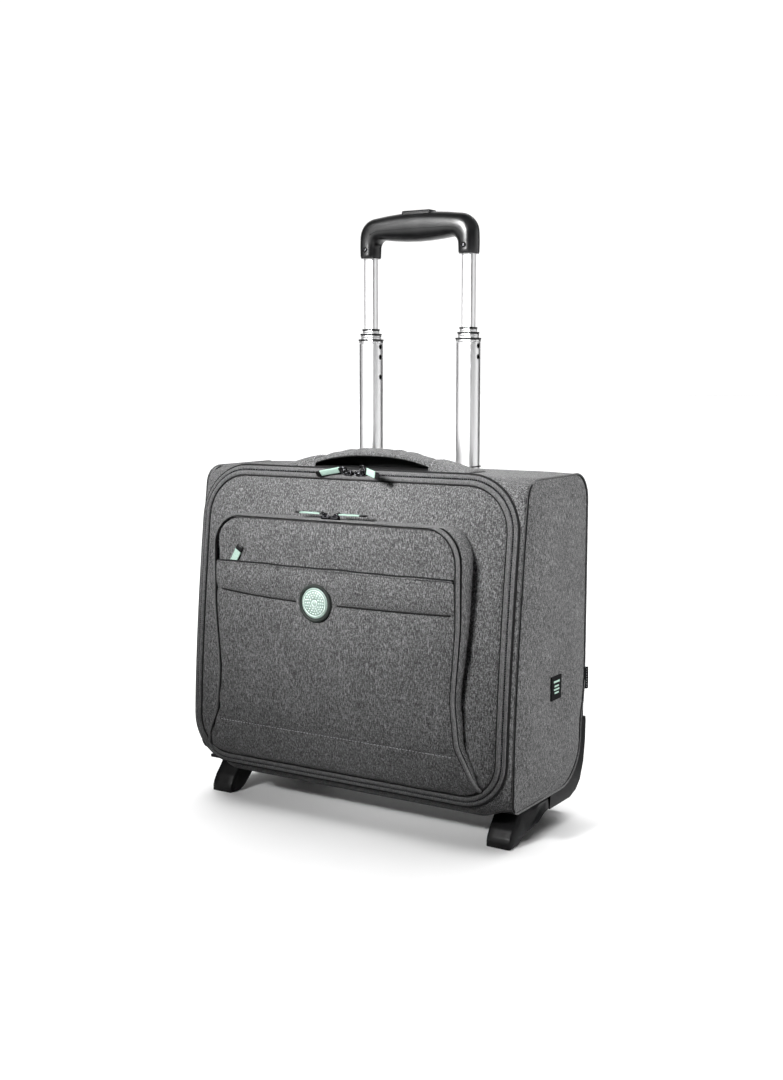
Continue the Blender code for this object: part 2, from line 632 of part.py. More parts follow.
def grip_inside():
    t = TUBE_Y
    u, v = BUTTON_HALF
    button = block("push_button", (-u, t - v, BUTTON_LOW_Z), (u, t + v, BUTTON_TOP_Z), PLASTIC)
    bevel(button, 0.0018, 2)
    low, high = YOKE_Z
    right = [(TUBE_X - 0.0020, 0.600), (TUBE_X + 0.0020, 0.600), (TUBE_X + 0.0020, high),
             (-TUBE_X - 0.0020, high), (-TUBE_X - 0.0020, 0.600), (-TUBE_X + 0.0020, 0.600),
             (-TUBE_X + 0.0020, low), (TUBE_X - 0.0020, low)]
    prism("lock_yoke", [right], "XZ", -t - 0.0025, -t + 0.0025, STEEL)
    for label, side in SIDES:
        front = t - GRIP_HALF_D
        head = rod("grip_screw_" + label, 0.0026, (side * TUBE_X, front + 0.0003, GRIP_SCREW_Z),
                   (side * TUBE_X, front + 0.0019, GRIP_SCREW_Z), DARK_METAL, 16)
        shank = rod("grip_screw_shank_" + label, 0.0014, (side * TUBE_X, front + 0.0012, GRIP_SCREW_Z),
                    (side * TUBE_X, t - STAGE_SECTIONS[3][1] / 2 - 0.0006, GRIP_SCREW_Z), None, 12)
        boolean(head, shank, "UNION")


# ---------------------------------------------------------------- lid and pocket
def pocket_outline(inset=0.0, top=POCKET_TOP_Z, top_radius=0.036):
    """Front pocket in (x, z): waisted sides that flare to the lower corners."""
    right = [(0.1800 - inset, POCKET_LOW_Z + inset, 0.004), (0.1850 - inset, 0.0790, 0.004),
             (0.1510 - inset, 0.1080, 0.030), (0.1485 - inset, 0.1650, 0.10),
             (0.1555 - inset, 0.2300, 0.20), (0.1552 - inset, top, top_radius)]
    return fillet(mirrored(right), 5)


def lid():
    outline = rectangle(LID_HALF_W, LID_LOW_Z, LID_TOP_Z, 0.0380, 0.0480)
    front = panel("front_panel", outline, front_y, LID_SKIN, FABRIC)
    move_origin(front, LID_HINGE)
    edge = pocket_outline()
    rows = [[(x, front_y(z) - 0.0008, z) for x, z in edge],
            [(x, pocket_split_y(z) + GAP / 2, z) for x, z in edge]]
    skin("pocket_gusset", rows, POCKET_SKIN, FABRIC)


def pocket():
    edge = pocket_outline()
    rows = [[(x, pocket_split_y(z) - GAP / 2, z) for x, z in edge],
            [(x, pocket_wall_y(z), z) for x, z in edge]]
    front = skin("pocket_front", rows, POCKET_SKIN, FABRIC, capped=True)
    move_origin(front, POCKET_HINGE)
    panel("slash_panel", pocket_outline(0.0020, SLASH_Z, 0.003), pocket_y, SLASH_SKIN, FABRIC)
    face = pocket_y(BADGE_Z) - GAP
    badge = rod("badge", BADGE_R, (BADGE_X, face, BADGE_Z), (BADGE_X, face - BADGE_H, BADGE_Z), MINT, 32)
    bevel(badge, 0.0008, 2)


# ---------------------------------------------------------------- zip sliders and pull tabs
def pull_tab(name, length, plane, direction, pivot, turn):
    """Flat tab with an eye at its pivot. direction is +1 or -1 along X before turn is applied."""
    _, width, thick = TAB
    u, v = sorted((0.0, direction * length))
    outline = fillet([(u, -width / 2, 0.0015), (v, -width / 2, 0.0015),
                      (v, width / 2, 0.0015), (u, width / 2, 0.0015)], 2)
    eye = arc(direction * 0.0035, 0.0, 0.0016, 0, 315, 7)
    made = prism(name, [outline, eye], plane, -thick / 2, thick / 2, MINT)
    made.matrix_world = Matrix.Translation(pivot) @ turn
    return made


def slider(name, middle, size):
    half = Vector(size) / 2
    made = block(name, Vector(middle) - half, Vector(middle) + half, DARK_METAL)
    bevel(made, 0.0008, 2)
    return made


def main_zip():
    """Two sliders that meet over the middle of the lid's top edge, with their tabs apart."""
    along, high, thick = SLIDER
    y = front_y(MAIN_ZIP_Z) - 0.0008 - thick / 2
    face = y - thick / 2 - GAP - TAB[2] / 2
    for label, side, x, yaw, tilt in MAIN_PULLS:
        slider("main_slider_" + label, (x, y, MAIN_ZIP_Z), (along, thick, high))
        turn = Matrix.Rotation(radians(yaw), 4, "Z") @ Matrix.Rotation(radians(side * tilt), 4, "Y")
        pull_tab("main_puller_" + label, TAB[0], "XZ", side, (x, face, MAIN_ZIP_Z), turn)


def pocket_zip():
    along, high, thick = SLIDER
    y = pocket_split_y(POCKET_TOP_Z)
    z = POCKET_TOP_Z + GAP + thick / 2
    face = z + thick / 2 + GAP + TAB[2] / 2
    for label, side in SIDES:
        x = side * 0.0058 + POCKET_ZIP_X
        slider("pocket_slider_" + label, (x, y, z), (along, high, thick))
        pull_tab("pocket_puller_" + label, TAB[0], "XY", side, (x, y, face), Matrix.Identity(4))


def slash_zip():
    y = pocket_y(SLASH_Z) + (SLASH_SKIN + SLASH_RECESS[1]) / 2
    slider("slash_slider", (SLASH_SLIDER_X, y, SLASH_Z - 0.0040), (0.0080, 0.0024, 0.0060))
    turn = Matrix.Rotation(radians(-SLASH_TAB_TURN), 4, "Y")
    pull_tab("slash_puller", SLASH_TAB_L, "XZ", 1.0, (SLASH_SLIDER_X, y, SLASH_Z + 0.0031), turn)


def build():
    side_panels()
    wrap_panels()
    front_frame()
    inner_boards()
    carry_handle()
    wheel_housings()
    wheels()
    feet()
    telescope()
    grip()
    grip_inside()
    lid()
    pocket()
    main_zip()
    pocket_zip()
    slash_zip()


build()
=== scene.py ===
from math import cos, pi, radians, sin

import bmesh
import bpy
import numpy as np
from mathutils import Matrix, Vector, noise


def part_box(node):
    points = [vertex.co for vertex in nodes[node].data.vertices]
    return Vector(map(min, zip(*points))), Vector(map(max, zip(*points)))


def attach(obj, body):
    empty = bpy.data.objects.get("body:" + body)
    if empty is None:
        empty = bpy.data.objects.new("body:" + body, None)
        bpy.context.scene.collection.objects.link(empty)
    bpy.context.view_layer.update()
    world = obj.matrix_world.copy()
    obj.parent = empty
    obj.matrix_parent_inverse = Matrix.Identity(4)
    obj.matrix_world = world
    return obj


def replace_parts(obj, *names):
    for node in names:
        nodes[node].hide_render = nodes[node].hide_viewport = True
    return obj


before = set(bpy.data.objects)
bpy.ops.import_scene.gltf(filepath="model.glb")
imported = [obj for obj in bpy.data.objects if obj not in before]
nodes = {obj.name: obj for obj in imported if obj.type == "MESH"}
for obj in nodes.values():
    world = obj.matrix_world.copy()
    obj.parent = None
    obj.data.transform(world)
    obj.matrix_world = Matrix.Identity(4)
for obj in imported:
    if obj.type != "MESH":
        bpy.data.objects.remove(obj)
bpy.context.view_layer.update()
scene = bpy.context.scene

# ---------------------------------------------------------------- shape shared with the CAD model
TUBE_Y = 0.0807
HALF_W = 0.2094
BACK_Y = TUBE_Y + 0.0145
TOP_Z = 0.3875
BOTTOM_Z = 0.0420
MIDDLE_Z = 0.21
FRONT_LOW_Y = TUBE_Y - 0.168
POCKET_Y = TUBE_Y - 0.184
POCKET_TOP_Z = 0.3365
SLASH_Z = 0.2835
TUBE_X = 0.0659
CLOTH_THICK = 0.0018
TOOTH_PITCH = 0.0024
HANDLE_Y = TUBE_Y - 0.0850
BADGE = (-0.0170, 0.2480)
BADGE_R = 0.0205
MAIN_ZIP_Z = 0.3866
SIDES = (("right", 1.0), ("left", -1.0))


def front_y(z):
    return FRONT_LOW_Y + 0.028 * max(0.0, (z - 0.08) / 0.30) ** 1.5


def side_front_y(z):
    return front_y(z) + 0.0105


def pocket_y(z):
    return POCKET_Y + 0.0065 * max(0.0, (0.125 - z) / 0.061) ** 1.6


def split_y(z):
    return (front_y(z) + pocket_y(z)) / 2


def smooth(t):
    t = min(1.0, max(0.0, t))
    return t * t * (3 - 2 * t)


# ---------------------------------------------------------------- camera
camera = bpy.data.cameras.new("camera")
camera.sensor_width = 36.0
camera.lens = 45.585
camera.clip_start, camera.clip_end = 0.05, 60.0
eye = bpy.data.objects.new("camera", camera)
scene.collection.objects.link(eye)
eye.location = (0.8315, TUBE_Y - 1.3705, 0.4919)
eye.rotation_euler = (radians(90 - 6.87), 0.0, radians(32.37))
scene.camera = eye


# ---------------------------------------------------------------- materials
class Tree:
    """Small helper that adds and links the nodes of one material."""

    def __init__(self, name, roughness=0.5, metallic=0.0, specular=0.5):
        self.material = bpy.data.materials.new(name)
        self.material.use_nodes = True
        self.tree = self.material.node_tree
        self.shader = self.tree.nodes["Principled BSDF"]
        self.set("Roughness", roughness)
        self.set("Metallic", metallic)
        self.set("Specular IOR Level", specular)
        self.place = self.node("TexCoord").outputs["Object"]

    def set(self, name, value):
        self.shader.inputs[name].default_value = value

    def node(self, kind, **settings):
        made = self.tree.nodes.new("ShaderNode" + kind)
        for key, value in settings.items():
            setattr(made, key, value)
        return made

    def link(self, source, target):
        self.tree.links.new(source, target)

    def noise(self, scale, stretch=(1, 1, 1), detail=2.0, rough=0.55):
        turn = self.node("Mapping")
        turn.inputs["Scale"].default_value = stretch
        self.link(self.place, turn.inputs["Vector"])
        made = self.node("TexNoise")
        made.inputs["Scale"].default_value = scale
        made.inputs["Detail"].default_value = detail
        made.inputs["Roughness"].default_value = rough
        self.link(turn.outputs["Vector"], made.inputs["Vector"])
        return made.outputs["Fac"]

    def wave(self, scale, direction):
        """Even ribs at scale ribs per metre along a direction."""
        dot = self.node("VectorMath", operation="DOT_PRODUCT")
        self.link(self.place, dot.inputs[0])
        dot.inputs[1].default_value = [v * scale * 2 * pi for v in direction]
        made = self.node("Math", operation="SINE")
        self.link(dot.outputs["Value"], made.inputs[0])
        return self.math("MULTIPLY_ADD", made.outputs[0], 0.5, 0.5)

    def math(self, operation, a, b, c=None):
        made = self.node("Math", operation=operation)
        for socket, value in zip(made.inputs, (a, b, c)):
            if value is None:
                continue
            if isinstance(value, (int, float)):
                socket.default_value = value
            else:
                self.link(value, socket)
        return made.outputs[0]

    def ramp(self, value, stops):
        made = self.node("ValToRGB")
        band = made.color_ramp
        while len(band.elements) < len(stops):
            band.elements.new(0.5)
        for element, (at, color) in zip(band.elements, stops):
            element.position = at
            element.color = (*color, 1.0) if len(color) == 3 else color
        self.link(value, made.inputs["Fac"])
        return made.outputs["Color"]

    def color(self, value):
        self.link(value, self.shader.inputs["Base Color"])

    def rough(self, value, low, high):
        self.link(self.math("MULTIPLY_ADD", value, high - low, low), self.shader.inputs["Roughness"])

    def bump(self, height, strength, distance):
        made = self.node("Bump")
        made.inputs["Strength"].default_value = strength
        made.inputs["Distance"].default_value = distance
        self.link(height, made.inputs["Height"])
        self.link(made.outputs["Normal"], self.shader.inputs["Normal"])
        return self.material


def grey(value):
    return (value, value, value * 1.01)


def melange(name, low, mid, high, gain=1.0):
    """Heathered polyester: short light and dark fibres along the warp, crossed by a finer weft."""
    t = Tree(name, 0.92, 0.0, 0.25)
    t.set("Sheen Weight", 0.05)
    t.set("Sheen Roughness", 0.6)
    warp = t.noise(1250, (1, 1, 0.20), 2.0, 0.6)
    weft = t.noise(1150, (0.30, 0.30, 1), 2.0, 0.6)
    speck = t.noise(1600, (1, 1, 0.45), 1.0, 0.5)
    cloud = t.noise(26, (1, 1, 0.7), 3.0, 0.5)
    mixed = t.math("MULTIPLY_ADD", warp, 0.52, t.math("MULTIPLY", weft, 0.24))
    mixed = t.math("MULTIPLY_ADD", speck, 0.20, mixed)
    mixed = t.math("MULTIPLY_ADD", cloud, 0.04, mixed)
    mixed = t.math("MULTIPLY_ADD", t.math("SUBTRACT", mixed, 0.5), gain, 0.5)
    t.color(t.ramp(mixed, [(0.34, grey(low)), (0.50, grey(mid)), (0.68, grey(high))]))
    rib = t.math("MULTIPLY", t.wave(950, (0.8, 0.8, 0)), t.wave(950, (0, 0.2, 1)))
    height = t.math("MULTIPLY_ADD", rib, 0.35, t.math("MULTIPLY", mixed, 1.3))
    return t.bump(height, 0.55, 0.0007)


def woven(name, color, shade, pitch=1400):
    """Plain narrow webbing or tape, ribbed across its length."""
    t = Tree(name, 0.85, 0.0, 0.15)
    rib = t.math("MULTIPLY", t.wave(pitch, (1, 0.3, 0)), t.wave(pitch, (0, 0.3, 1)))
    grain = t.math("MULTIPLY_ADD", t.noise(900, (1, 1, 1), 2.0), 0.6, t.math("MULTIPLY", rib, 0.4))
    t.color(t.ramp(grain, [(0.25, shade), (0.70, color)]))
    t.rough(grain, 0.7, 0.9)
    return t.bump(grain, 0.45, 0.0004)


def moulded(name, color, low=0.28, high=0.42, grain=1500, depth=0.00012, specular=0.5):
    """Moulded plastic or rubber with a fine spark-eroded grain and handling marks."""
    t = Tree(name, low, 0.0, specular)
    fine = t.noise(grain, (1, 1, 1), 2.0)
    marks = t.noise(55, (1, 1, 1), 4.0, 0.7)
    worn = tuple(min(1.0, c * 1.7 + 0.004) for c in color)
    t.color(t.ramp(marks, [(0.40, color), (0.75, worn)]))
    t.rough(marks, low, high)
    return t.bump(fine, 0.30, depth)


def metal(name, color, low, high, stretch, scale=700, depth=0.00003):
    """Drawn or brushed metal, streaked along its length."""
    t = Tree(name, low, 1.0)
    brush = t.noise(scale, stretch, 3.0, 0.6)
    marks = t.noise(40, (1, 1, 1), 3.0)
    darker = tuple(c * 0.90 for c in color)
    t.color(t.ramp(brush, [(0.3, darker), (0.6, color)]))
    t.rough(marks, low, high)
    return t.bump(brush, 0.15, depth)


CLOTH = melange("grey_melange", 0.0095, 0.048, 0.155, 1.55)
# Painted light: a lighter, flatter copy of the melange for the welts and edge bands, standing in for the
# light their rounded edges catch.
WELT_CLOTH_PAINTED_LIGHT = melange("grey_melange_welt_painted_light", 0.022, 0.060, 0.130, 0.9)
LINING = woven("dark_lining", (0.030, 0.031, 0.034), (0.012, 0.012, 0.014), 700)
SEAM = woven("black_seam", (0.010, 0.010, 0.0105), (0.003, 0.003, 0.003), 900)
STRAP = woven("black_webbing", (0.010, 0.010, 0.011), (0.003, 0.003, 0.003), 520)
MINT_TAPE = woven("mint_tape", (0.27, 0.36, 0.315), (0.19, 0.27, 0.232), 1100)
THREAD = woven("pale_thread", (0.36, 0.36, 0.37), (0.20, 0.20, 0.21), 2500)
PLASTIC = moulded("black_moulding", (0.0035, 0.0035, 0.0037), 0.30, 0.44, 1500, 0.00012, 0.12)
GRIP = moulded("black_grip", (0.0022, 0.0022, 0.0024), 0.25, 0.34, 1300, 0.00022, 0.36)
# Painted highlight: the grip's parting line is a lighter grey than the black grip, standing in for the light
# it catches along the shoulders.
PARTING_PAINTED_HIGHLIGHT = moulded("grip_parting_painted_highlight", (0.045, 0.045, 0.047), 0.40, 0.50)
RUBBER = moulded("black_tyre", (0.016, 0.016, 0.017), 0.60, 0.80, 800, 0.0002, 0.35)
HUB = moulded("grey_hub", (0.060, 0.062, 0.066), 0.38, 0.50)
BOARD = moulded("grey_board", (0.055, 0.055, 0.058), 0.6, 0.75, 500, 0.0002)
RIM_RUBBER = moulded("badge_rim", (0.008, 0.0105, 0.009), 0.55, 0.68, 1500, 0.00012, 0.2)
STEEL = metal("plain_steel", (0.55, 0.55, 0.57), 0.28, 0.40, (1, 1, 0.1))
ZIP_METAL = metal("gunmetal", (0.040, 0.040, 0.043), 0.18, 0.30, (1, 1, 1), 900)


def aluminium(label, side):
    """Satin tube whose faces bow out a little, streaked along its length."""
    t = Tree("satin_aluminium_" + label, 0.25, 1.0)
    brush = t.noise(900, (1, 1, 0.02), 3.0, 0.6)
    t.color(t.ramp(brush, [(0.3, (0.84, 0.84, 0.845)), (0.6, (0.93, 0.93, 0.935))]))
    t.rough(t.noise(40, (1, 1, 1), 3.0), 0.26, 0.33)
    split = t.node("SeparateXYZ")
    t.link(t.place, split.inputs[0])
    across = t.math("SUBTRACT", split.outputs["X"], side * TUBE_X)
    across = t.math("POWER", t.math("ABSOLUTE", across, None), 2.0)
    along = t.math("SUBTRACT", split.outputs["Y"], TUBE_Y)
    along = t.math("POWER", t.math("ABSOLUTE", along, None), 2.0)
    bow = t.math("MULTIPLY", t.math("ADD", across, along), -19.0)
    return t.bump(t.math("MULTIPLY_ADD", brush, 0.0000008, bow), 1.0, 1.0)


def enamel():
    """Pale mint badge with faint mottling and a soft gloss."""
    t = Tree("mint_enamel", 0.5)
    cloud = t.noise(160, (1, 1, 1), 3.0)
    t.color(t.ramp(cloud, [(0.35, (0.155, 0.215, 0.185)), (0.65, (0.205, 0.265, 0.238))]))
    t.rough(cloud, 0.48, 0.60)
    return t.bump(t.noise(1200, (1, 1, 1), 2.0), 0.2, 0.0001)


MINT = enamel()
ALUMINIUM = {label: aluminium(label, side) for label, side in SIDES}
RELIEF = moulded("badge_relief", (0.36, 0.43, 0.40), 0.45, 0.60, 1500, 0.00008)


# ---------------------------------------------------------------- lines and outlines
def fillet(corners, steps=9):
    """Points of a closed polygon of (u, v, radius), with each corner rounded to its radius."""
    points = []
    for index, (u, v, radius) in enumerate(corners):
        here = Vector((u, v))
        back = Vector(corners[index - 1][:2]) - here
        ahead = Vector(corners[(index + 1) % len(corners)][:2]) - here
        half = back.angle(ahead) / 2
        if radius <= 0 or half > radians(89.5):
            points.append((u, v))
            continue
        reach = radius * cos(half) / sin(half)
        middle = here + (back.normalized() + ahead.normalized()).normalized() * (radius / sin(half))
        first = here + back.normalized() * reach - middle
        sweep = first.angle_signed(here + ahead.normalized() * reach - middle)
        for step in range(steps + 1):
            turned = first.copy()
            turned.rotate(Matrix.Rotation(-sweep * step / steps, 2))
            points.append(tuple(middle + turned))
    return points


def arc(u, v, radius, start, end, steps=12):
    turn = np.radians(np.linspace(start, end, steps + 1))
    return [(u + radius * cos(a), v + radius * sin(a)) for a in turn]


def circle(sides, across=1.0, up=1.0):
    """Points of a unit circle, squared off where a power is below 1."""
    turn = [2 * pi * k / sides for k in range(sides)]
    return [(abs(cos(a)) ** across * np.sign(cos(a)), abs(sin(a)) ** up * np.sign(sin(a))) for a in turn]


def measured(points, closed):
    """A line, closed with its first point if asked, and the length from its start to each point."""
    line = np.array(points, float)
    if closed:
        line = np.vstack([line, line[:1]])
    return line, np.r_[0, np.cumsum(np.linalg.norm(np.diff(line, axis=0), axis=1))]


def read_at(line, length, at):
    """Points of a measured line at some lengths."""
    return np.stack([np.interp(at, length, line[:, k]) for k in range(line.shape[1])], axis=1)


def resample(points, step, closed=True):
    """Evenly spaced points along a line."""
    line, length = measured(points, closed)
    at = np.linspace(0, length[-1], max(4, round(length[-1] / step)) + 1)
    return read_at(line, length, at[:-1] if closed else at)


def spread(points, step, count):
    """count points evenly spaced along an open line."""
    line = resample(points, step, False)
    return read_at(line, np.arange(len(line)), np.linspace(0, len(line) - 1, count))


def tangents(path, closed):
    if closed:
        along = np.roll(path, -1, axis=0) - np.roll(path, 1, axis=0)
    else:
        along = np.gradient(path, axis=0)
    return along / np.maximum(np.linalg.norm(along, axis=1, keepdims=True), 1e-12)


def grown(points, distance):
    """Closed anticlockwise outline moved outwards by a distance."""
    line = np.array(points, float)
    along = tangents(line, True)
    return line + distance * np.stack([along[:, 1], -along[:, 0]], axis=1)


def lid_ring(offset, step=0.004):
    """Rounded outline round the lid in (x, z), offset outwards from its inner seam."""
    w, low, high = 0.1940 + offset, 0.0580 - offset, 0.3785 + offset
    r_low, r_high = 0.040 + offset, 0.048 + offset
    corners = [(w, low, r_low), (w, high, r_high), (-w, high, r_high), (-w, low, r_low)]
    return resample(fillet(corners), step)


def pocket_ring(offset=0.0, top=POCKET_TOP_Z, top_radius=0.035, step=0.004):
    """Waisted outline of the front pocket in (x, z), running out into the lid's lower corners."""
    foot = arc(0.1540, 0.0980, 0.0388, -88, -53, 8)
    sides = [(0.1545, 0.1120, 0.030), (0.1490, 0.1600, 0.12), (0.1550, 0.2350, 0.25),
             (0.1545, top, top_radius)]
    right = [(u, v, 0.0) for u, v in foot] + sides
    left = [(-u, v, radius) for u, v, radius in reversed(right)]
    return grown(resample(fillet(right + left), step), offset)


def pocket_path(offset=0.0, top=POCKET_TOP_Z, step=0.004):
    """Sides and top of the pocket, from its lower right corner to its lower left one."""
    right = [(0.1774, 0.0668, 0.0), (0.1545, 0.1120, 0.030), (0.1490, 0.1600, 0.12), (0.1550, 0.2350, 0.25),
             (0.1545, top, 0.035)]
    left = [(-u, v, radius) for u, v, radius in reversed(right)]
    line = resample(fillet(right + left)[:-1] + [(-0.1774, 0.0668)], step, False)
    along = tangents(line, False)
    ease = np.array([0.25 + 0.75 * smooth((z - 0.066) / 0.030) for _, z in line])[:, None]
    line = line + offset * ease * np.stack([along[:, 1], -along[:, 0]], axis=1)
    line[:, 1] = np.minimum(line[:, 1], top + 0.0004)
    return line


def pocket_foot(x):
    """Height of the lid's lower seam at x."""
    side = min(0.0386, max(0.0, abs(x) - 0.1540))
    return 0.0980 - (0.0388 ** 2 - side ** 2) ** 0.5


def pocket_face(x, z):
    """Front of the pocket, which rolls back to the lid along its foot."""
    reach = 0.009 + 0.024 * smooth((abs(x) - 0.125) / 0.04)
    t = min(1.0, max(0.0, (z - pocket_foot(x)) / reach))
    full = front_y(z) - 0.0016 - pocket_y(z)
    return front_y(z) - 0.0016 - full * (1 - (1 - t) ** 2) ** 0.5


def side_ring(step=0.004):
    """Side panel in (y, z): leaning front, rounded corners, cut back round the wheel guard."""
    low, high = BOTTOM_Z + 0.0005, TOP_Z - 0.0015
    front = [(side_front_y(z), z, 0.0) for z in (0.31, 0.25, 0.18, 0.12)]
    back = [(BACK_Y, 0.155), (BACK_Y - 0.0030, 0.1300), (TUBE_Y + 0.0062, 0.1126)]
    back += arc(TUBE_Y - 0.0433, low + 0.0485, 0.0485, 0, -90)
    corners = [(y, z, 0.0) for y, z in reversed(back)]
    corners += [(BACK_Y, high, 0.030), (side_front_y(high), high, 0.022)] + front
    corners += [(side_front_y(low) - 0.0005, low, 0.012)]
    return resample(fillet(corners), step)


# ---------------------------------------------------------------- meshes
def add_mesh(name, points, faces, finish, body=None, flat=False):
    mesh = bpy.data.meshes.new(name)
    mesh.from_pydata([tuple(map(float, p)) for p in points], [], [tuple(map(int, f)) for f in faces])
    mesh.validate()
    mesh.materials.append(finish)
    mesh.polygons.foreach_set("use_smooth", [not flat] * len(mesh.polygons))
    made = bpy.data.objects.new(name, mesh)
    scene.collection.objects.link(made)
    if body:
        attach(made, body)
    return made


def loft_faces(rows, count, closed, around=False):
    """Quads between rows of count points. closed joins a row's ends, around the last row and the first."""
    faces = []
    for row in range(rows if around else rows - 1):
        here, there = row * count, (row + 1) % rows * count
        for index in range(count if closed else count - 1):
            after = (index + 1) % count
            faces.append((here + index, here + after, there + after, there + index))
    return faces


def end_caps(rows, count):
    """Faces that close the first and the last of some rows of count points."""
    return [tuple(range(count)), tuple((rows - 1) * count + k for k in range(count))]


def lofted(name, points, rows, count, finish, body=None, around=False):
    """Closed solid through rows of count points, capped unless its last row meets its first."""
    faces = loft_faces(rows, count, True, around)
    if not around:
        faces += end_caps(rows, count)
    made = add_mesh(name, points, faces, finish, body)
    fix_normals(made)
    return made


def fix_normals(made):
    shape = bmesh.new()
    shape.from_mesh(made.data)
    bmesh.ops.recalc_face_normals(shape, faces=shape.faces)
    shape.to_mesh(made.data)
    shape.free()


def sewn(made, body):
    """Puts a padded fabric piece on its body."""
    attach(made, body)
    return made


def eased(made, levels):
    """Rounds a soft piece with a subdivision surface."""
    ease = made.modifiers.new("ease", "SUBSURF")
    ease.levels = ease.render_levels = levels


def face_out(made, outward):
    """Turns the faces so that their mean normal goes with outward(centre)."""
    total = sum(face.normal.dot(Vector(outward(face.center))) * face.area for face in made.data.polygons)
    if total < 0:
        made.data.flip_normals()


def thicken(made, thickness, inner=LINING):
    step = made.modifiers.new("thick", "SOLIDIFY")
    step.thickness = thickness
    step.offset = -1.0
    if inner:
        made.data.materials.append(inner)
        step.material_offset = 1
    return made


def path_frame(path, out, closed):
    """At each point of a path: the way along it, the way out squared to that, and the way across."""
    along = tangents(path, closed)
    out = out - (out * along).sum(axis=1, keepdims=True) * along
    out /= np.maximum(np.linalg.norm(out, axis=1, keepdims=True), 1e-12)
    return along, out, np.cross(along, out)


def rope(name, path, out, wide, deep, finish, body, closed=True, sides=10):
    """Round or flattened rod along a path. out points away from the surface, for all points or for each."""
    path = np.array(path, float)
    along, out, side = path_frame(path, np.broadcast_to(np.array(out, float), path.shape), closed)
    points = [p + o * deep * u + s * wide * v for p, o, s in zip(path, out, side) for u, v in circle(sides)]
    return lofted(name, points, len(path), sides, finish, body, closed)


def welt(name, path, out, wide, deep, body, closed=True, sides=12, finish=WELT_CLOTH_PAINTED_LIGHT):
    """Rolled fabric edge, by default in the lighter welt melange, whose extra light is painted."""
    made = rope(name, path, out, wide, deep, finish, body, closed, sides)
    return made


def studs(name, path, out, size, pitch, finish, body, closed=True, lift=0.0):
    """A row of small rounded blocks along a path: zip teeth, or stitches where they are long."""
    path = np.array(path, float)
    out = np.broadcast_to(np.array(out, float), path.shape)
    both = resample(np.hstack([path, out]), pitch, closed)
    path, out = both[:, :3], both[:, 3:]
    along, out, side = path_frame(path, out, closed)
    length, wide, deep = size
    points, faces, block = [], [], loft_faces(4, 6, True) + end_caps(4, 6)
    for p, t, o, s in zip(path + out * lift, along, out, side):
        base = len(points)
        for x in (-0.5, -0.28, 0.28, 0.5):
            full = 1.0 if abs(x) < 0.4 else 0.45
            for k in range(6):
                a = pi * (k + 0.5) / 3
                points.append(p + t * length * x + (o * deep * cos(a) + s * wide * sin(a)) * 0.5 * full)
        faces += [tuple(base + k for k in face) for face in block]
    made = add_mesh(name, points, faces, finish, body)
    fix_normals(made)
    return made


def settle(made, pinned, pressure, cap, slack=0.006, frames=16):
    """Cloth simulation of a padded panel held along its seams. The result becomes its mesh."""
    start = np.array([v.co for v in made.data.vertices])
    group = made.vertex_groups.new(name="seams")
    group.add([int(k) for k in pinned], 1.0, "REPLACE")
    step = made.modifiers.new("cloth", "CLOTH")
    cloth = step.settings
    cloth.quality = 6
    cloth.mass = 0.25
    cloth.tension_stiffness = cloth.compression_stiffness = 20
    cloth.bending_stiffness = 1.2
    cloth.vertex_group_mass = "seams"
    cloth.use_pressure = True
    cloth.uniform_pressure_force = pressure
    cloth.shrink_min = -slack
    cloth.effector_weights.gravity = 0.0
    step.collision_settings.use_collision = False
    for number in range(1, frames + 1):
        scene.frame_set(number)
    graph = bpy.context.evaluated_depsgraph_get()
    mesh = made.evaluated_get(graph).to_mesh()
    moved = np.array([v.co for v in mesh.vertices]) - start
    made.evaluated_get(graph).to_mesh_clear()
    made.modifiers.remove(step)
    scene.frame_set(1)
    reach = np.linalg.norm(moved, axis=1, keepdims=True)
    moved *= cap * np.tanh(reach / cap) / np.maximum(reach, 1e-9)
    made.data.vertices.foreach_set("co", (start + moved).ravel())
    made.data.update()


def rumple(point, scale, depth, seed):
    """Soft uneven swell at a point, the same on each run."""
    at = Vector(point) * scale + Vector((seed * 7.3, seed * 3.1, seed * 5.7))
    return depth * (noise.noise(at) + 0.5 * noise.noise(at * 2.1))


def edge_distance(points, outline):
    """Distance of each 2-D point from a closed outline."""
    a = np.array(outline)
    b = np.roll(a, -1, axis=0)
    ab = b - a
    best = np.full(len(points), 1e9)
    for start, step in zip(a, ab):
        t = np.clip(((points - start) @ step) / max(step @ step, 1e-15), 0, 1)
        best = np.minimum(best, np.linalg.norm(points - start - t[:, None] * step, axis=1))
    return best


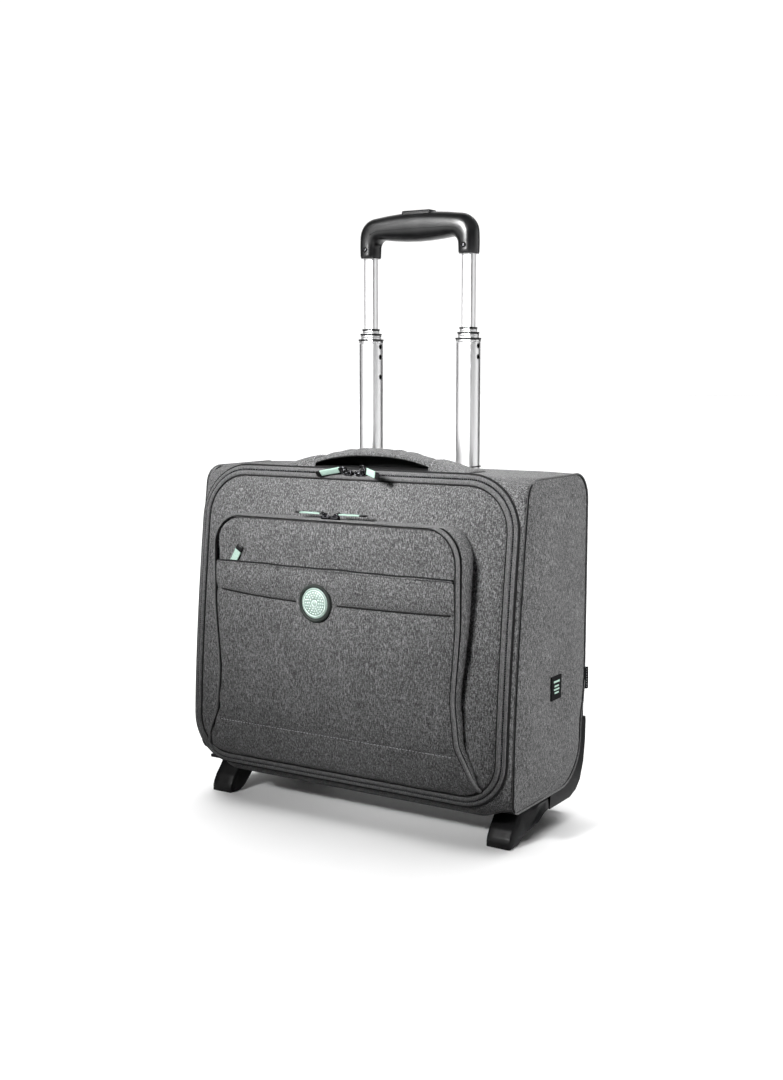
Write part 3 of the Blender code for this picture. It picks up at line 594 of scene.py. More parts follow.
def patch(name, outline, place, finish, body, crown=0.003, rim=0.0012, pitch=0.0062, seed=1,
          pressure=3.0, cap=0.004, thickness=CLOTH_THICK, groove=None, inner=LINING, slack=0.006, held=None):
    """Padded panel that fills a closed 2-D outline, pulled down along its seam and crowned inside.
    place(u, v, height) gives a point in the row frame. groove(u, v) adds height after settling.
    held(u, v) is true where the panel is sewn down to something inside its outline."""
    line = np.array(outline)
    low, high = line[:, 1].min(), line[:, 1].max()
    rows = [low + 2e-5, low + 0.0007, low + 0.002, low + 0.004]
    rows += list(np.arange(low + 0.007, high - 0.007, pitch))
    rows += [high - 0.006, high - 0.004, high - 0.002, high - 0.0007, high - 2e-5]
    if groove:
        rows += [z for z in getattr(groove, "rows", []) if low < z < high]
    rows = sorted(set(round(z, 6) for z in rows))
    nxt = np.roll(line, -1, axis=0)
    ends = []
    for v in rows:
        cross = (line[:, 1] - v) * (nxt[:, 1] - v) <= 0
        climb = nxt[cross, 1] - line[cross, 1]
        t = (v - line[cross, 1]) / np.where(climb == 0, 1, climb)
        u = line[cross, 0] + np.clip(t, 0, 1) * (nxt[cross, 0] - line[cross, 0])
        ends.append((u.min(), u.max()))
    width = max(b - a for a, b in ends)
    near = np.array([0, 0.0008, 0.0022, 0.0045]) / width
    inner_share = np.linspace(near[-1] + pitch / width, 1 - near[-1] - pitch / width, round(width / pitch))
    shares = np.r_[near, inner_share, 1 - near[::-1]]
    flat = np.array([(a + (b - a) * s, v) for (a, b), v in zip(ends, rows) for s in shares])
    depth = edge_distance(flat, line)
    lift = -rim * np.exp(-(depth / 0.0016) ** 2) + crown * (1 - np.exp(-depth / 0.035))
    points = [place(u, v, h) for (u, v), h in zip(flat, lift)]
    made = add_mesh(name, points, loft_faces(len(rows), len(shares), False), finish)
    outward = Vector(place(*flat[len(flat) // 2], 1.0)) - Vector(place(*flat[len(flat) // 2], 0.0))
    face_out(made, lambda at: outward)
    pinned = depth < 0.0035
    if held:
        pinned |= np.array([held(u, v) for u, v in flat])
    settle(made, np.nonzero(pinned)[0], pressure, cap, slack)
    for vertex, (u, v), d in zip(made.data.vertices, flat, depth):
        extra = rumple((u, v, 0), 22, 0.0007, seed) * min(1.0, d / 0.02)
        if groove:
            extra += groove(u, v)
        vertex.co += outward.normalized() * extra
    thicken(made, thickness, inner)
    return sewn(made, body)


def on_front(points, lift, y_of_z=front_y):
    """A line in (x, z) laid on the leaning front, lift metres in front of it."""
    return np.array([(x, y_of_z(z) - lift, z) for x, z in points])


FORWARD = np.array((0.0, -1.0, 0.0))


# ---------------------------------------------------------------- lid
def behind_pocket(x, z):
    """1 where the lid's cloth lies flat behind the pocket, 0 outside it."""
    return smooth((0.150 - abs(x)) / 0.012) * smooth((z - 0.0570) / 0.006) * smooth((0.328 - z) / 0.012)


def lid():
    inner = lid_ring(-0.0004)
    patch("lid_cloth", inner, lambda x, z, h: (x, front_y(z) - h - 0.0004, z), CLOTH, "lid",
          crown=0.0030, seed=2, groove=lambda x, z: -0.0042 * behind_pocket(x, z),
          held=lambda x, z: behind_pocket(x, z) > 0.5)
    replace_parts(bpy.data.objects["lid_cloth"], "front_panel")
    rope("lid_seam", on_front(lid_ring(0.0004), -0.0010), FORWARD, 0.0013, 0.0014, SEAM, "lid", sides=8)
    welt("lid_welt", on_front(lid_ring(0.0031), -0.0012), FORWARD, 0.0026, 0.0023, "lid")
    rope("lid_zip_tape", on_front(lid_ring(0.0062), -0.0026), FORWARD, 0.0022, 0.0009, SEAM, "lid", sides=8)
    # Painted shadow: a black rope along the lid's left edge only, standing in for the shade in the zip's
    # hollow on that side.
    groove = np.array([p for p in on_front(lid_ring(0.0012), -0.0012) if p[0] < -0.150])
    groove = groove[np.argsort(np.arctan2(groove[:, 2] - MIDDLE_Z, -groove[:, 0]))]
    rope("lid_painted_shadow_left", groove, FORWARD, 0.0022, 0.0011, SEAM, "lid", False, 8)
    studs("lid_zip_teeth", on_front(lid_ring(0.0062), -0.0016), FORWARD, (0.0012, 0.0030, 0.0012),
          TOOTH_PITCH, ZIP_METAL, "lid")


# ---------------------------------------------------------------- case
def side_curve(count):
    """Front edge of a side panel in (y, z), from the middle of its lower corner to that of its upper one."""
    ring = side_ring(0.002)
    low = np.argmin(np.hypot(ring[:, 0] - side_front_y(BOTTOM_Z), ring[:, 1] - BOTTOM_Z))
    high = np.argmin(np.hypot(ring[:, 0] - side_front_y(TOP_Z), ring[:, 1] - TOP_Z))
    lo, hi = min(low, high), max(low, high)
    part = ring[lo:hi + 1]
    if part[0, 1] > part[-1, 1]:
        part = part[::-1]
    return spread(part, 0.002, count)


EDGE_X = HALF_W - 0.0006
TUBE_HOLE = 0.0124
BACK_SEAM_X = 0.0975
COLUMNS = np.array(sorted([-EDGE_X, -EDGE_X + 0.0008, EDGE_X - 0.0008, EDGE_X]
                          + [x for x in np.linspace(-EDGE_X + 0.004, EDGE_X - 0.004, 78)
                             if abs(abs(abs(x) - TUBE_X) - TUBE_HOLE) > 0.0015]
                          + [a * TUBE_X + b * TUBE_HOLE for a in (-1, 1) for b in (-1, 1)]))


def top_edge(x):
    """Front of the top panel at x: low at the case's corners, level with the lid's rim between."""
    corner = side_curve_ends[1]
    inside = smooth((EDGE_X - abs(x)) / 0.055)
    y = corner[0] + (front_y(TOP_Z) + 0.0120 - corner[0]) * inside
    return y, corner[1] + (TOP_Z + 0.0008 - corner[1]) * inside


def bottom_edge(x):
    corner = side_curve_ends[0]
    inside = smooth((EDGE_X - abs(x)) / 0.04)
    y = corner[0] + (front_y(BOTTOM_Z) + 0.0150 - corner[0]) * inside
    return y, corner[1] + (BOTTOM_Z - 0.0062 - corner[1]) * inside


side_curve_ends = side_curve(60)[[0, -1]]


def tuck(made):
    """Soft lower corner on the left, drawn in behind the lid's rim."""
    for vertex in made.data.vertices:
        x, y, z = vertex.co
        share = smooth((-x - 0.150) / 0.050) * smooth((TUBE_Y - 0.112 - y) / 0.030)
        share *= smooth((0.090 - z) / 0.045)
        vertex.co += Vector((0.0050, 0.0060, 0.0085)) * share


LABEL_Y = (TUBE_Y - 0.0767, TUBE_Y - 0.0525)
LABEL_Z = (0.1470, 0.1730)


def quarter(points, start, end, count):
    """count points of a closed line between two lengths along it."""
    line, length = measured(points, True)
    return read_at(line, length, np.linspace(start, end, count) % length[-1])


def ring_positions(ring):
    """Lengths along the lid's ring at which its four corners are half turned."""
    length = measured(ring, True)[1]
    corners = [(1, -1), (1, 1), (-1, 1), (-1, -1)]
    middle = (ring[:, 1].max() + ring[:, 1].min()) / 2
    return [length[np.argmax(sx * ring[:, 0] + sz * (ring[:, 1] - middle))] for sx, sz in corners], length[-1]


def front_gusset():
    """Fabric between the lid's outer seam and the square edges of the case."""
    ring = lid_ring(0.0113, 0.002)
    (a, b, c, d), total = ring_positions(ring)
    spans = [(a, b), (b, c), (c, d), (d, a + total)]
    spans = [(s, e if e > s else e + total) for s, e in spans]
    right = side_curve(60)
    across = COLUMNS[::-1]
    rear = [[(EDGE_X, y, z) for y, z in right], [(x, *top_edge(x)) for x in across],
            [(-EDGE_X, y, z) for y, z in right[::-1]], [(x, *bottom_edge(x)) for x in across[::-1]]]
    inner, outer = [], []
    for (start, end), edge in zip(spans, rear):
        line = quarter(ring, start, end, len(edge))
        inner += [(x, front_y(z) + 0.0040, z) for x, z in line[:-1]]
        outer += edge[:-1]
    inner, outer = np.array(inner), np.array(outer)
    rows = []
    for t in (0.0, 0.12, 0.3, 0.5, 0.7, 0.85, 1.0):
        row = inner * (1 - t) + outer * t
        away = row - np.array((0, 0, (TOP_Z + BOTTOM_Z) / 2))
        away[:, 1] = 0
        away /= np.linalg.norm(away, axis=1, keepdims=True)
        rows.append(row + away * 0.0010 * sin(pi * t))
    made = add_mesh("front_gusset", np.vstack(rows), loft_faces(len(rows), len(inner), True), CLOTH)
    face_out(made, lambda at: Vector((at[0], 0, at[2] - MIDDLE_Z)))
    tuck(made)
    thicken(made, CLOTH_THICK)
    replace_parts(sewn(made, "case"), "front_frame")
    rope("rim_seam", on_front(lid_ring(0.0115), -0.0044), FORWARD, 0.0015, 0.0018, SEAM, "case", sides=8)
    welt("rim_welt", on_front(lid_ring(0.0087), -0.0033), FORWARD, 0.0024, 0.0021, "case")


def wrap_profile(x):
    """Top, back and bottom of the case in (y, z) at x, from its front edge round to the one below."""
    inside = smooth((EDGE_X - abs(x)) / 0.05)
    start, end = top_edge(x), bottom_edge(x)
    crown = 0.0012 * inside
    line = [(y, start[1] + (TOP_Z - 0.0012 + crown - start[1]) * smooth((y - start[0]) / 0.022))
            for y in np.linspace(start[0], BACK_Y - 0.030, 26)]
    line += arc(BACK_Y - 0.030, TOP_Z - 0.0312 + crown, 0.030, 90, 0)[1:]
    line += [(BACK_Y, z) for z in np.linspace(line[-1][1] - 0.006, BOTTOM_Z + 0.062, 36)]
    line += arc(BACK_Y - 0.055, BOTTOM_Z + 0.055, 0.055, 0, -90)
    line += [(y, BOTTOM_Z + (end[1] - BOTTOM_Z) * smooth((line[-1][0] - y) / 0.115))
             for y in np.linspace(BACK_Y - 0.061, end[0], 20)]
    return line


def wrap():
    """One cloth over the top, the back and the bottom, open round the wheel guards and the tubes."""
    rows = [[(x, y, z) for y, z in wrap_profile(x)] for x in COLUMNS]
    points = np.array(rows).reshape(-1, 3)
    for index, (x, y, z) in enumerate(points):
        inside = smooth((EDGE_X - abs(x)) / 0.05)
        on_back = smooth((y - (BACK_Y - 0.012)) / 0.010) * smooth((z - 0.10) / 0.05)
        on_back *= smooth((0.37 - z) / 0.05)
        swell = 0.0022 * inside * on_back + rumple((x, y, z), 16, 0.0008, 5) * inside
        swell -= 0.0012 * np.exp(-((abs(x) - BACK_SEAM_X) / 0.0022) ** 2) * on_back
        flat_top = smooth((z - 0.36) / 0.02)
        points[index] += np.array((0, swell * on_back, swell * 0.6 * flat_top * (1 - on_back)))
    kept = []
    for face in loft_faces(len(COLUMNS), len(rows[0]), False):
        x, y, z = points[list(face)].mean(axis=0)
        over_wheel = 0.1305 < abs(x) < 0.2040 and z < 0.106 and y > TUBE_Y - 0.0680
        round_tube = abs(abs(x) - TUBE_X) < TUBE_HOLE and abs(y - TUBE_Y) < 0.0105 and z > 0.3
        if not over_wheel and not round_tube:
            kept.append(face)
    made = add_mesh("case_wrap", points, kept, CLOTH)
    shape = bmesh.new()
    shape.from_mesh(made.data)
    bmesh.ops.delete(shape, geom=[v for v in shape.verts if not v.link_faces], context="VERTS")
    shape.to_mesh(made.data)
    shape.free()
    face_out(made, lambda at: Vector((0, at[1], at[2] - MIDDLE_Z)))
    tuck(made)
    thicken(made, CLOTH_THICK)
    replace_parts(sewn(made, "case"), "top_panel", "back_panel", "bottom_panel")


def under_label(y, z):
    (y0, y1), (z0, z1) = LABEL_Y, LABEL_Z
    return y0 - 0.004 < y < y1 + 0.004 and z0 - 0.004 < z < z1 + 0.004


def side_panels():
    ring = side_ring()
    for label, side in SIDES:
        made = patch("side_cloth_" + label, grown(ring, -0.0004),
                     lambda y, z, h, s=side: (s * (HALF_W - 0.0002 + h), y, z), CLOTH, "case",
                     crown=0.0024, seed=3 + side, cap=0.0035, held=under_label if side > 0 else None)
        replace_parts(made, "side_panel_" + label)
        line = np.array([(side * (HALF_W + 0.0001), y, z) for y, z in ring])
        edging = welt("side_welt_" + label, line, (side, 0, 0), 0.0010, 0.0011, "case", sides=8)
        front = np.array([(side * (HALF_W + 0.0006), y, z) for y, z in side_curve(120)])
        piping = rope("side_piping_" + label, front, (side, 0, 0), 0.0012, 0.0011, SEAM, "case", False, 8)
        for piece in (made, edging, piping):
            tuck(piece)
        back = np.array([(side * BACK_SEAM_X, BACK_Y + 0.0002, z) for z in np.linspace(0.125, 0.352, 40)])
        studs("back_stitches_" + label, back, (0, 1, 0), (0.0024, 0.0006, 0.0006), 0.0036,
              THREAD, "case", False, 0.0012)


# y from the handle's middle, the level a height counts from (underside, top or base), and that height
HANDLE_OUT = ((-0.0170, 0, 0.0004), (-0.0177, 0, 0.0030), (-0.0138, 1, -0.0013), (-0.0060, 1, 0.0),
              (0.0030, 1, 0.0), (0.0112, 1, -0.0020), (0.0160, 1, -0.0066), (0.0174, 2, 0.0060),
              (0.0170, 2, 0.0006))
HANDLE_IN = ((-0.0162, 0, -0.0012), (-0.0130, 0, -0.0004), (-0.0095, 0, 0.0001), (-0.0050, 0, 0.0001),
             (0.0010, 0, -0.0005), (0.0072, 0, -0.0022), (0.0110, 0, -0.0056), (0.0130, 2, 0.0045),
             (0.0134, 2, 0.0004))


def handle_section(x, table):
    """Cross-section of the curled handle at x, from heights over its underside, its top or its base."""
    lift = max(0.0, 1.0 - (abs(x) / 0.088) ** 2.4)
    base = TOP_Z + 0.0010
    under = base + 0.0148 * lift
    top = under + 0.0030 + 0.0046 * lift ** 0.5
    points = []
    for y, level, rise in table:
        z = (under, top, base)[level] + rise * (0.35 + 0.65 * lift)
        if level == 2:
            z = base + rise * (0.4 + lift)
        points.append((x, HANDLE_Y + y, min(z, top)))
    return np.array(points)


# x, depth and width of each crease
FOLDS = ((-0.030, 0.0005, 0.004), (0.006, 0.0007, 0.003), (0.021, 0.0009, 0.0032), (0.034, 0.0006, 0.003),
         (0.052, 0.0004, 0.004))


def folds(x):
    """Creases across the handle's top, deepest right of its middle."""
    total = 0.0
    for at, deep, wide in FOLDS:
        total -= deep * np.exp(-((x - at) / wide) ** 2)
    return total


# x, half width and height of each station along the tabs that hold the handle down
HANDLE_TAB = ((0.0745, 0.0190, 0.0118), (0.0750, 0.0192, 0.0132), (0.0800, 0.0205, 0.0136),
              (0.0880, 0.0220, 0.0122), (0.0980, 0.0235, 0.0094), (0.1080, 0.0248, 0.0062),
              (0.1180, 0.0256, 0.0036), (0.1230, 0.0258, 0.0018))


def carry_handle():
    """Padded grey handle, curled round a black lining and sewn down under a tab at each end."""
    stations = np.linspace(-0.098, 0.098, 72)
    outer, inner = [], []
    for x in stations:
        o, i = handle_section(x, HANDLE_OUT), handle_section(x, HANDLE_IN)
        o[2:6, 2] += folds(x) + 0.0004 * sin(x * 300)
        o[1:4, 1] -= 0.4 * folds(x)
        outer.append(np.vstack([o, (o * 0.5 + i * 0.5)[::-1]]))
        inner.append(np.vstack([o * 0.48 + i * 0.52, i[::-1]]))
    for name, rows, finish in (("carry_handle_pad", outer, CLOTH), ("carry_handle_lining", inner, STRAP)):
        made = lofted(name, np.vstack(rows), len(rows), len(rows[0]), finish)
        eased(made, 1)
        sewn(made, "case")
    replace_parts(bpy.data.objects["carry_handle_pad"], "carry_handle")
    # Painted shade: a black sheet on the top panel under the handle, standing in for the shade in the gap
    # beneath it.
    under = [(-0.0800, HANDLE_Y - 0.0185, TOP_Z + 0.0004), (0.0800, HANDLE_Y + 0.0150, TOP_Z + 0.0020)]
    soften(brick("handle_gap_painted_shade", *under, STRAP, "case"), 0.0006)
    for label, side in SIDES:
        tab = []
        for x, width, z in HANDLE_TAB:
            for t in np.linspace(-1, 1, 15):
                drop = (z - 0.0012) * abs(t) ** 4
                tab.append((side * x, HANDLE_Y + width * t, TOP_Z + z - drop))
        piece = add_mesh("handle_tab_" + label, tab, loft_faces(len(HANDLE_TAB), 15, False), CLOTH)
        face_out(piece, lambda at: Vector((0, 0, 1)))
        thicken(piece, 0.0016, None)
        eased(piece, 2)
        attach(piece, "case")
        line = [(side * 0.0785, HANDLE_Y + w, TOP_Z + 0.0138 - 0.0124 * abs(w / 0.0202) ** 4)
                for w in np.linspace(-0.0165, 0.0165, 12)]
        studs("handle_tab_stitches_" + label, line, (0, 0, 1), (0.0022, 0.0006, 0.0006),
              0.0034, THREAD, "case", False, 0.0002)


def soften(made, width, segments=2, angle=35):
    """Small rounded edges with clean shading."""
    edge = made.modifiers.new("edge", "BEVEL")
    edge.width = width
    edge.segments = segments
    edge.limit_method = "ANGLE"
    edge.angle_limit = radians(angle)
    made.data.polygons.foreach_set("use_smooth", [True] * len(made.data.polygons))
    shade = made.modifiers.new("shade", "WEIGHTED_NORMAL")
    shade.keep_sharp = True
    return made


def brick(name, low, high, finish, body):
    (x0, y0, z0), (x1, y1, z1) = low, high
    points = [(x, y, z) for x in (x0, x1) for y in (y0, y1) for z in (z0, z1)]
    faces = [(0, 1, 3, 2), (4, 6, 7, 5), (0, 4, 5, 1), (2, 3, 7, 6), (0, 2, 6, 4), (1, 5, 7, 3)]
    made = add_mesh(name, points, faces, finish, body, True)
    fix_normals(made)
    return made


# ---------------------------------------------------------------- pocket
SEAM_ROWS = (0.1000, 0.1012, 0.1022, 0.1032, 0.1044, 0.2440, 0.2455, 0.2470, 0.2485, 0.2500, 0.2515, 0.2530,
             0.2545, 0.2750, 0.2790)


def slash_seam_z(x):
    return 0.2470 + 0.0062 * (min(0.0, x + 0.02) / 0.13) ** 2 + 0.0022 * (max(0.0, x) / 0.15) ** 2


def near_badge(x, z):
    return (x - BADGE[0]) ** 2 + (z - BADGE[1]) ** 2 < (BADGE_R + 0.003) ** 2


def slash_groove(x, z):
    """Sewn lines of the slash panel: the hem near its foot, and the line under the slanted mouth."""
    hem = -0.0007 * np.exp(-((z - 0.1022) / 0.0013) ** 2)
    gap = smooth((abs(x - BADGE[0]) - 0.024) / 0.006)
    line = -0.0022 * np.exp(-((z - slash_seam_z(x)) / 0.0024) ** 2) * gap
    band = 0.0022 * np.exp(-((z - 0.2690) / 0.009) ** 2)
    corner = smooth((-x - 0.085) / 0.05) * smooth((0.175 - z) / 0.06)
    creases = 0.0011 * sin((x * 0.8 + z) * 210) * corner
    right_foot = smooth((x - 0.03) / 0.07) * smooth((0.14 - z) / 0.03)
    creases += 0.0006 * sin((x * 0.35 - z) * 260 + 1.0) * right_foot
    side = smooth((abs(x) - 0.10) / 0.04) * smooth((z - 0.258) / 0.01)
    return hem + line + band * (1 - 0.6 * side) + creases


slash_groove.rows = SEAM_ROWS


def turned(name, profile, at, finish, body, steps=64, turn=Matrix.Identity(4)):
    """Round piece from (radius, height in front), about the front-to-back axis unless a matrix turns it."""
    points = [Vector(at) + turn @ Vector((r * u, -h, r * v)) for r, h in profile for u, v in circle(steps)]
    return lofted(name, points, len(profile), steps, finish, body)


DOT_PROFILE = ((0.0009, -0.0002), (0.0008, 0.0005))


def badge():
    """Dark rubber surround and a mint disc with a plain ring and dot relief."""
    at = (BADGE[0], pocket_y(BADGE[1]) + 0.0004, BADGE[1])
    rim = [(BADGE_R + 0.0008, 0.0), (BADGE_R + 0.0006, 0.0030), (BADGE_R - 0.0006, 0.0040),
           (BADGE_R - 0.0018, 0.0042), (0.0172, 0.0036), (0.0166, 0.0020)]
    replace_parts(turned("badge_rim", rim, at, RIM_RUBBER, "pocket"), "badge")
    disc = [(0.0168, 0.0010), (0.0168, 0.0026), (0.0163, 0.0032), (0.0150, 0.0034), (0.0146, 0.0030),
            (0.0140, 0.0030), (0.0136, 0.0035), (0.0040, 0.0037), (0.0036, 0.0033), (0.0030, 0.0033),
            (0.0026, 0.0038), (0.0004, 0.0039)]
    turned("badge_disc", disc, at, MINT, "pocket")
    dots = []
    for radius, count in ((0.0062, 10), (0.0088, 16), (0.0114, 22)):
        dots += [(at[0] + radius * u, at[1] - 0.0036, at[2] + radius * v) for u, v in circle(count)]
    points, faces, dot = [], [], loft_faces(2, 8, True) + end_caps(2, 8)[::-1]
    for x, y, z in dots:
        faces += [tuple(len(points) + k for k in face) for face in dot]
        points += [(x + r * u, y - h, z + r * v) for r, h in DOT_PROFILE for u, v in circle(8)]
    made = add_mesh("badge_dots", points, faces, RELIEF, "pocket")
    fix_normals(made)
    for index, radius in enumerate((0.0033, 0.0140)):
        ring = [(at[0] + u, at[1] - 0.0036, at[2] + v) for u, v in arc(0, 0, radius, 0, 360, 64)[:-1]]
        rope("badge_ring_%d" % index, ring, FORWARD, 0.0005, 0.0004, RELIEF, "pocket", sides=6)


def strip(name, near, far, finish, body, bulge=0.0008, seed=9):
    """Fabric band between two lines with the same number of points."""
    rows = []
    middle = near.mean(axis=0)
    for t in (0.0, 0.06, 0.2, 0.4, 0.6, 0.8, 0.94, 1.0):
        row = near * (1 - t) + far * t
        away = row - middle
        away[:, 1] = 0
        away /= np.linalg.norm(away, axis=1, keepdims=True)
        swell = np.array([rumple(p, 24, 0.0006, seed) for p in row])[:, None]
        flat = np.array([1 - smooth((p[2] - POCKET_TOP_Z + 0.004) / 0.003) for p in row])[:, None]
        rows.append(row + away * (bulge + swell) * sin(pi * t) * flat)
    made = add_mesh(name, np.vstack(rows), loft_faces(len(rows), len(near), False), finish)
    face_out(made, lambda at: Vector((at[0], 0, at[2] - 0.2)))
    thicken(made, 0.0014)
    return sewn(made, body)


def pocket_line(offset, share, lift=0.0):
    """Line round the pocket at a share of its depth: 1 at its face, 0 on the lid."""
    points = []
    for x, z in pocket_path(offset):
        base = front_y(z)
        points.append((x, base + (pocket_face(x, z) - base) * share - lift, z))
    return np.array(points)


def outwards(line):
    away = line - line.mean(axis=0)
    away[:, 1] = 0
    return away / np.linalg.norm(away, axis=1, keepdims=True)


def pocket():
    def recess(z):
        return 0.0010 + 0.0036 * smooth((0.322 - z) / 0.030)

    made = patch("pocket_cloth", pocket_ring(-0.0004),
                 lambda x, z, h: (x, pocket_face(x, z) + recess(z) - h, z),
                 CLOTH, "pocket", crown=0.0004, seed=6, cap=0.0008, slack=0.003, rim=0.0006,
                 held=lambda x, z: z < SLASH_Z + 0.012)
    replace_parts(made, "pocket_front")

    def mouth_z(x):
        return 0.0003 * sin(x * 55 + 1.0) + 0.0002 * sin(x * 130)

    made = patch("slash_cloth", pocket_ring(-0.0004, SLASH_Z + 0.0010, 0.002),
                 lambda x, z, h: (x, pocket_face(x, z) - h - 0.0010 * smooth((z - 0.262) / 0.02),
                                  z + mouth_z(x) * smooth((z - 0.27) / 0.012)),
                 CLOTH, "pocket", crown=0.0010, rim=0.0003, seed=7, cap=0.0024, groove=slash_groove,
                 thickness=0.0012, slack=0.007,
                 held=lambda x, z: near_badge(x, z) or abs(z - slash_seam_z(x)) < 0.003 or z < 0.104)
    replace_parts(made, "slash_panel")
    lip = np.array([(x, pocket_face(x, 0.28) - 0.0008 - 0.0002 * cos(x * 9), SLASH_Z + 0.0004 + mouth_z(x))
                    for x in np.linspace(-0.1530, 0.1530, 80)])
    welt("slash_lip", lip, FORWARD, 0.0010, 0.0010, "pocket", False, 10, CLOTH)
    # Painted shadow: a dark rope in the gap just above the lip, standing in for the shade inside the pocket's
    # mouth.
    gap = lip + np.array((0, 0.0012, 0.0016))
    rope("slash_mouth_painted_shadow", gap, FORWARD, 0.0011, 0.0005, SEAM, "pocket", False, 8)

    seam = pocket_line(0.0007, 1.0, 0.0003)
    rope("pocket_seam", seam, FORWARD, 0.0009, 0.0009, SEAM, "pocket", False, 8)
    line = pocket_line(0.0026, 0.95)
    welt("pocket_welt", line, outwards(line) * 0.8 + FORWARD, 0.0023, 0.0020, "pocket", False)
    line = pocket_line(0.0042, 0.82)
    rope("pocket_zip_tape", line, outwards(line), 0.0013, 0.0009, SEAM, "lid", False, 8)
    studs("pocket_zip_teeth", line, outwards(line), (0.0012, 0.0018, 0.0010), TOOTH_PITCH, ZIP_METAL, "lid",
          False, 0.0004)
    strip("pocket_side_cloth", pocket_line(0.0030, 0.90), pocket_line(0.0036, 0.84), WELT_CLOTH_PAINTED_LIGHT, "pocket",
          0.0002)
    gusset = strip("lid_gusset_cloth", pocket_line(0.0038, 0.80), pocket_line(0.0046, 0.0), CLOTH, "lid")
    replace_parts(gusset, "pocket_gusset")
    foot = pocket_line(0.0052, 0.0, 0.0012)
    welt("pocket_foot_welt", foot, FORWARD + outwards(foot), 0.0012, 0.0012, "lid", False, 8)
    hem = [(x, pocket_face(x, 0.1022), 0.1022) for x in np.linspace(-0.1500, 0.1500, 60)]
    studs("hem_stitches", hem, FORWARD, (0.0028, 0.0007, 0.0006), 0.0040, THREAD, "pocket", False, 0.0012)
    for label, start, end in (("left", -0.147, -0.044), ("right", 0.010, 0.149)):
        along = [(x, slash_seam_z(x)) for x in np.linspace(start, end, 30)]
        line = [(x, pocket_face(x, z) + 0.0006, z) for x, z in along]
        rope("slash_seam_" + label, line, FORWARD, 0.0010, 0.0008, SEAM, "pocket", False, 6)
    mouth = [(x, pocket_face(x, SLASH_Z) + 0.0022, SLASH_Z - 0.004) for x in np.linspace(-0.146, 0.146, 30)]
    rope("slash_zip_tape", mouth, FORWARD, 0.0050, 0.0006, SEAM, "pocket", False, 8)
    studs("slash_zip_teeth", mouth, FORWARD, (0.0012, 0.0030, 0.0011), TOOTH_PITCH, ZIP_METAL, "pocket",
          False,
          0.0005)
    badge()


# ---------------------------------------------------------------- zip pulls
def slab(name, length, width, thick, finish, rows):
    """Flat tab along +X from rows of (share of length, share of width, share of thickness)."""
    points = [(length * share, thick / 2 * deep * v, width / 2 * wide * u)
              for share, wide, deep in rows for u, v in circle(16, 0.45, 0.6)]
    return lofted(name, points, len(rows), 16, finish)


def torus(name, radius, wire, stretch, finish, steps=28, sides=10):
    """Wire ring in the XZ plane, stretched along X."""
    points = [((radius + wire * a) * u * stretch, wire * b, (radius + wire * a) * v)
              for u, v in circle(steps) for a, b in circle(sides)]
    return lofted(name, points, steps, sides, finish, None, True)


PULL_LONG = 0.040
TAB_ROWS = [(0.0, 0.82, 0.7), (0.01, 0.94, 0.95), (0.04, 1, 1), (0.96, 1, 1), (1.0, 0.96, 0.9)]
TIP_ROWS = [(0.0, 0.94, 0.9), (0.08, 1, 1), (0.75, 1, 1), (0.93, 0.86, 0.85), (1.0, 0.6, 0.5)]


def pull(node, matrix, length, tab_from=0.0065, tip=0.0065, width=0.0074, ring=0.0022):
    """Woven mint pull with a black tip, hung on a dark wire link from the slider."""
    tab = slab(node + "_tape", length - tab_from - tip + 0.001, width, 0.0017, MINT_TAPE, TAB_ROWS)
    pieces = ((tab, tab_from, 0, "X"),
              (slab(node + "_tip", tip, width + 0.0006, 0.0024, PLASTIC, TIP_ROWS), length - tip, 0, "X"),
              (slab(node + "_head", 0.0050, 0.0066, 0.0022, PLASTIC, TIP_ROWS), tab_from + 0.0022, 180, "Z"),
              (torus(node + "_link", ring, 0.0007, 1.35, ZIP_METAL), ring * 1.35 - 0.0006, 0, "X"),
              (torus(node + "_loop", 0.0019, 0.0006, 1.0, ZIP_METAL), tab_from - 0.0022, 55, "X"))
    for piece, along, turn, axis in pieces:
        own = Matrix.Translation((along, 0, 0)) @ Matrix.Rotation(radians(turn), 4, axis)
        piece.data.transform(matrix @ own)
        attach(piece, node)
    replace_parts(tab, node)


def slider_dress(node, along, up):
    """Raised bridge over a zip slider, and its two shoulders."""
    low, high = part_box(node)
    middle = (low + high) / 2
    half = (high - low) / 2
    along, up = Vector(along), Vector(up)
    path, out = [], []
    top = abs(half.dot(up))
    for t in np.linspace(0, pi, 13):
        path.append(middle + along * (0.0030 * cos(t)) + up * (top + 0.0018 * sin(t)))
        out.append(up * sin(t) + along * cos(t))
    rope(node + "_bridge", path, out, 0.0014, 0.0008, ZIP_METAL, node, False, 8)
    for share in (-1, 1):
        label = "left" if share < 0 else "right"
        cheek = torus("%s_cheek_%s" % (node, label), 0.0017, 0.0008, 1.25, ZIP_METAL)
        if abs(up.z) > 0.5:
            cheek.data.transform(Matrix.Rotation(pi / 2, 4, "X"))
        cheek.data.transform(Matrix.Translation(middle + along * 0.0034 * share + up * (top + 0.0004)))
        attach(cheek, node)


# side of the slider, x, turn, slope and roll in degrees, height over the zip, start of the tab
MAIN_PULLS = (("right", 1.0, 0.0150, -27.0, 10.0, 0.0, 0.0060, 0.0130),
              ("left", -1.0, -0.0040, 0.0, 10.5, -38.0, 0.0045, 0.0065))
MAIN_PULL_OUT, POCKET_PULL_UP = 0.0062, 0.0067
POCKET_ZIP_X = -0.0105


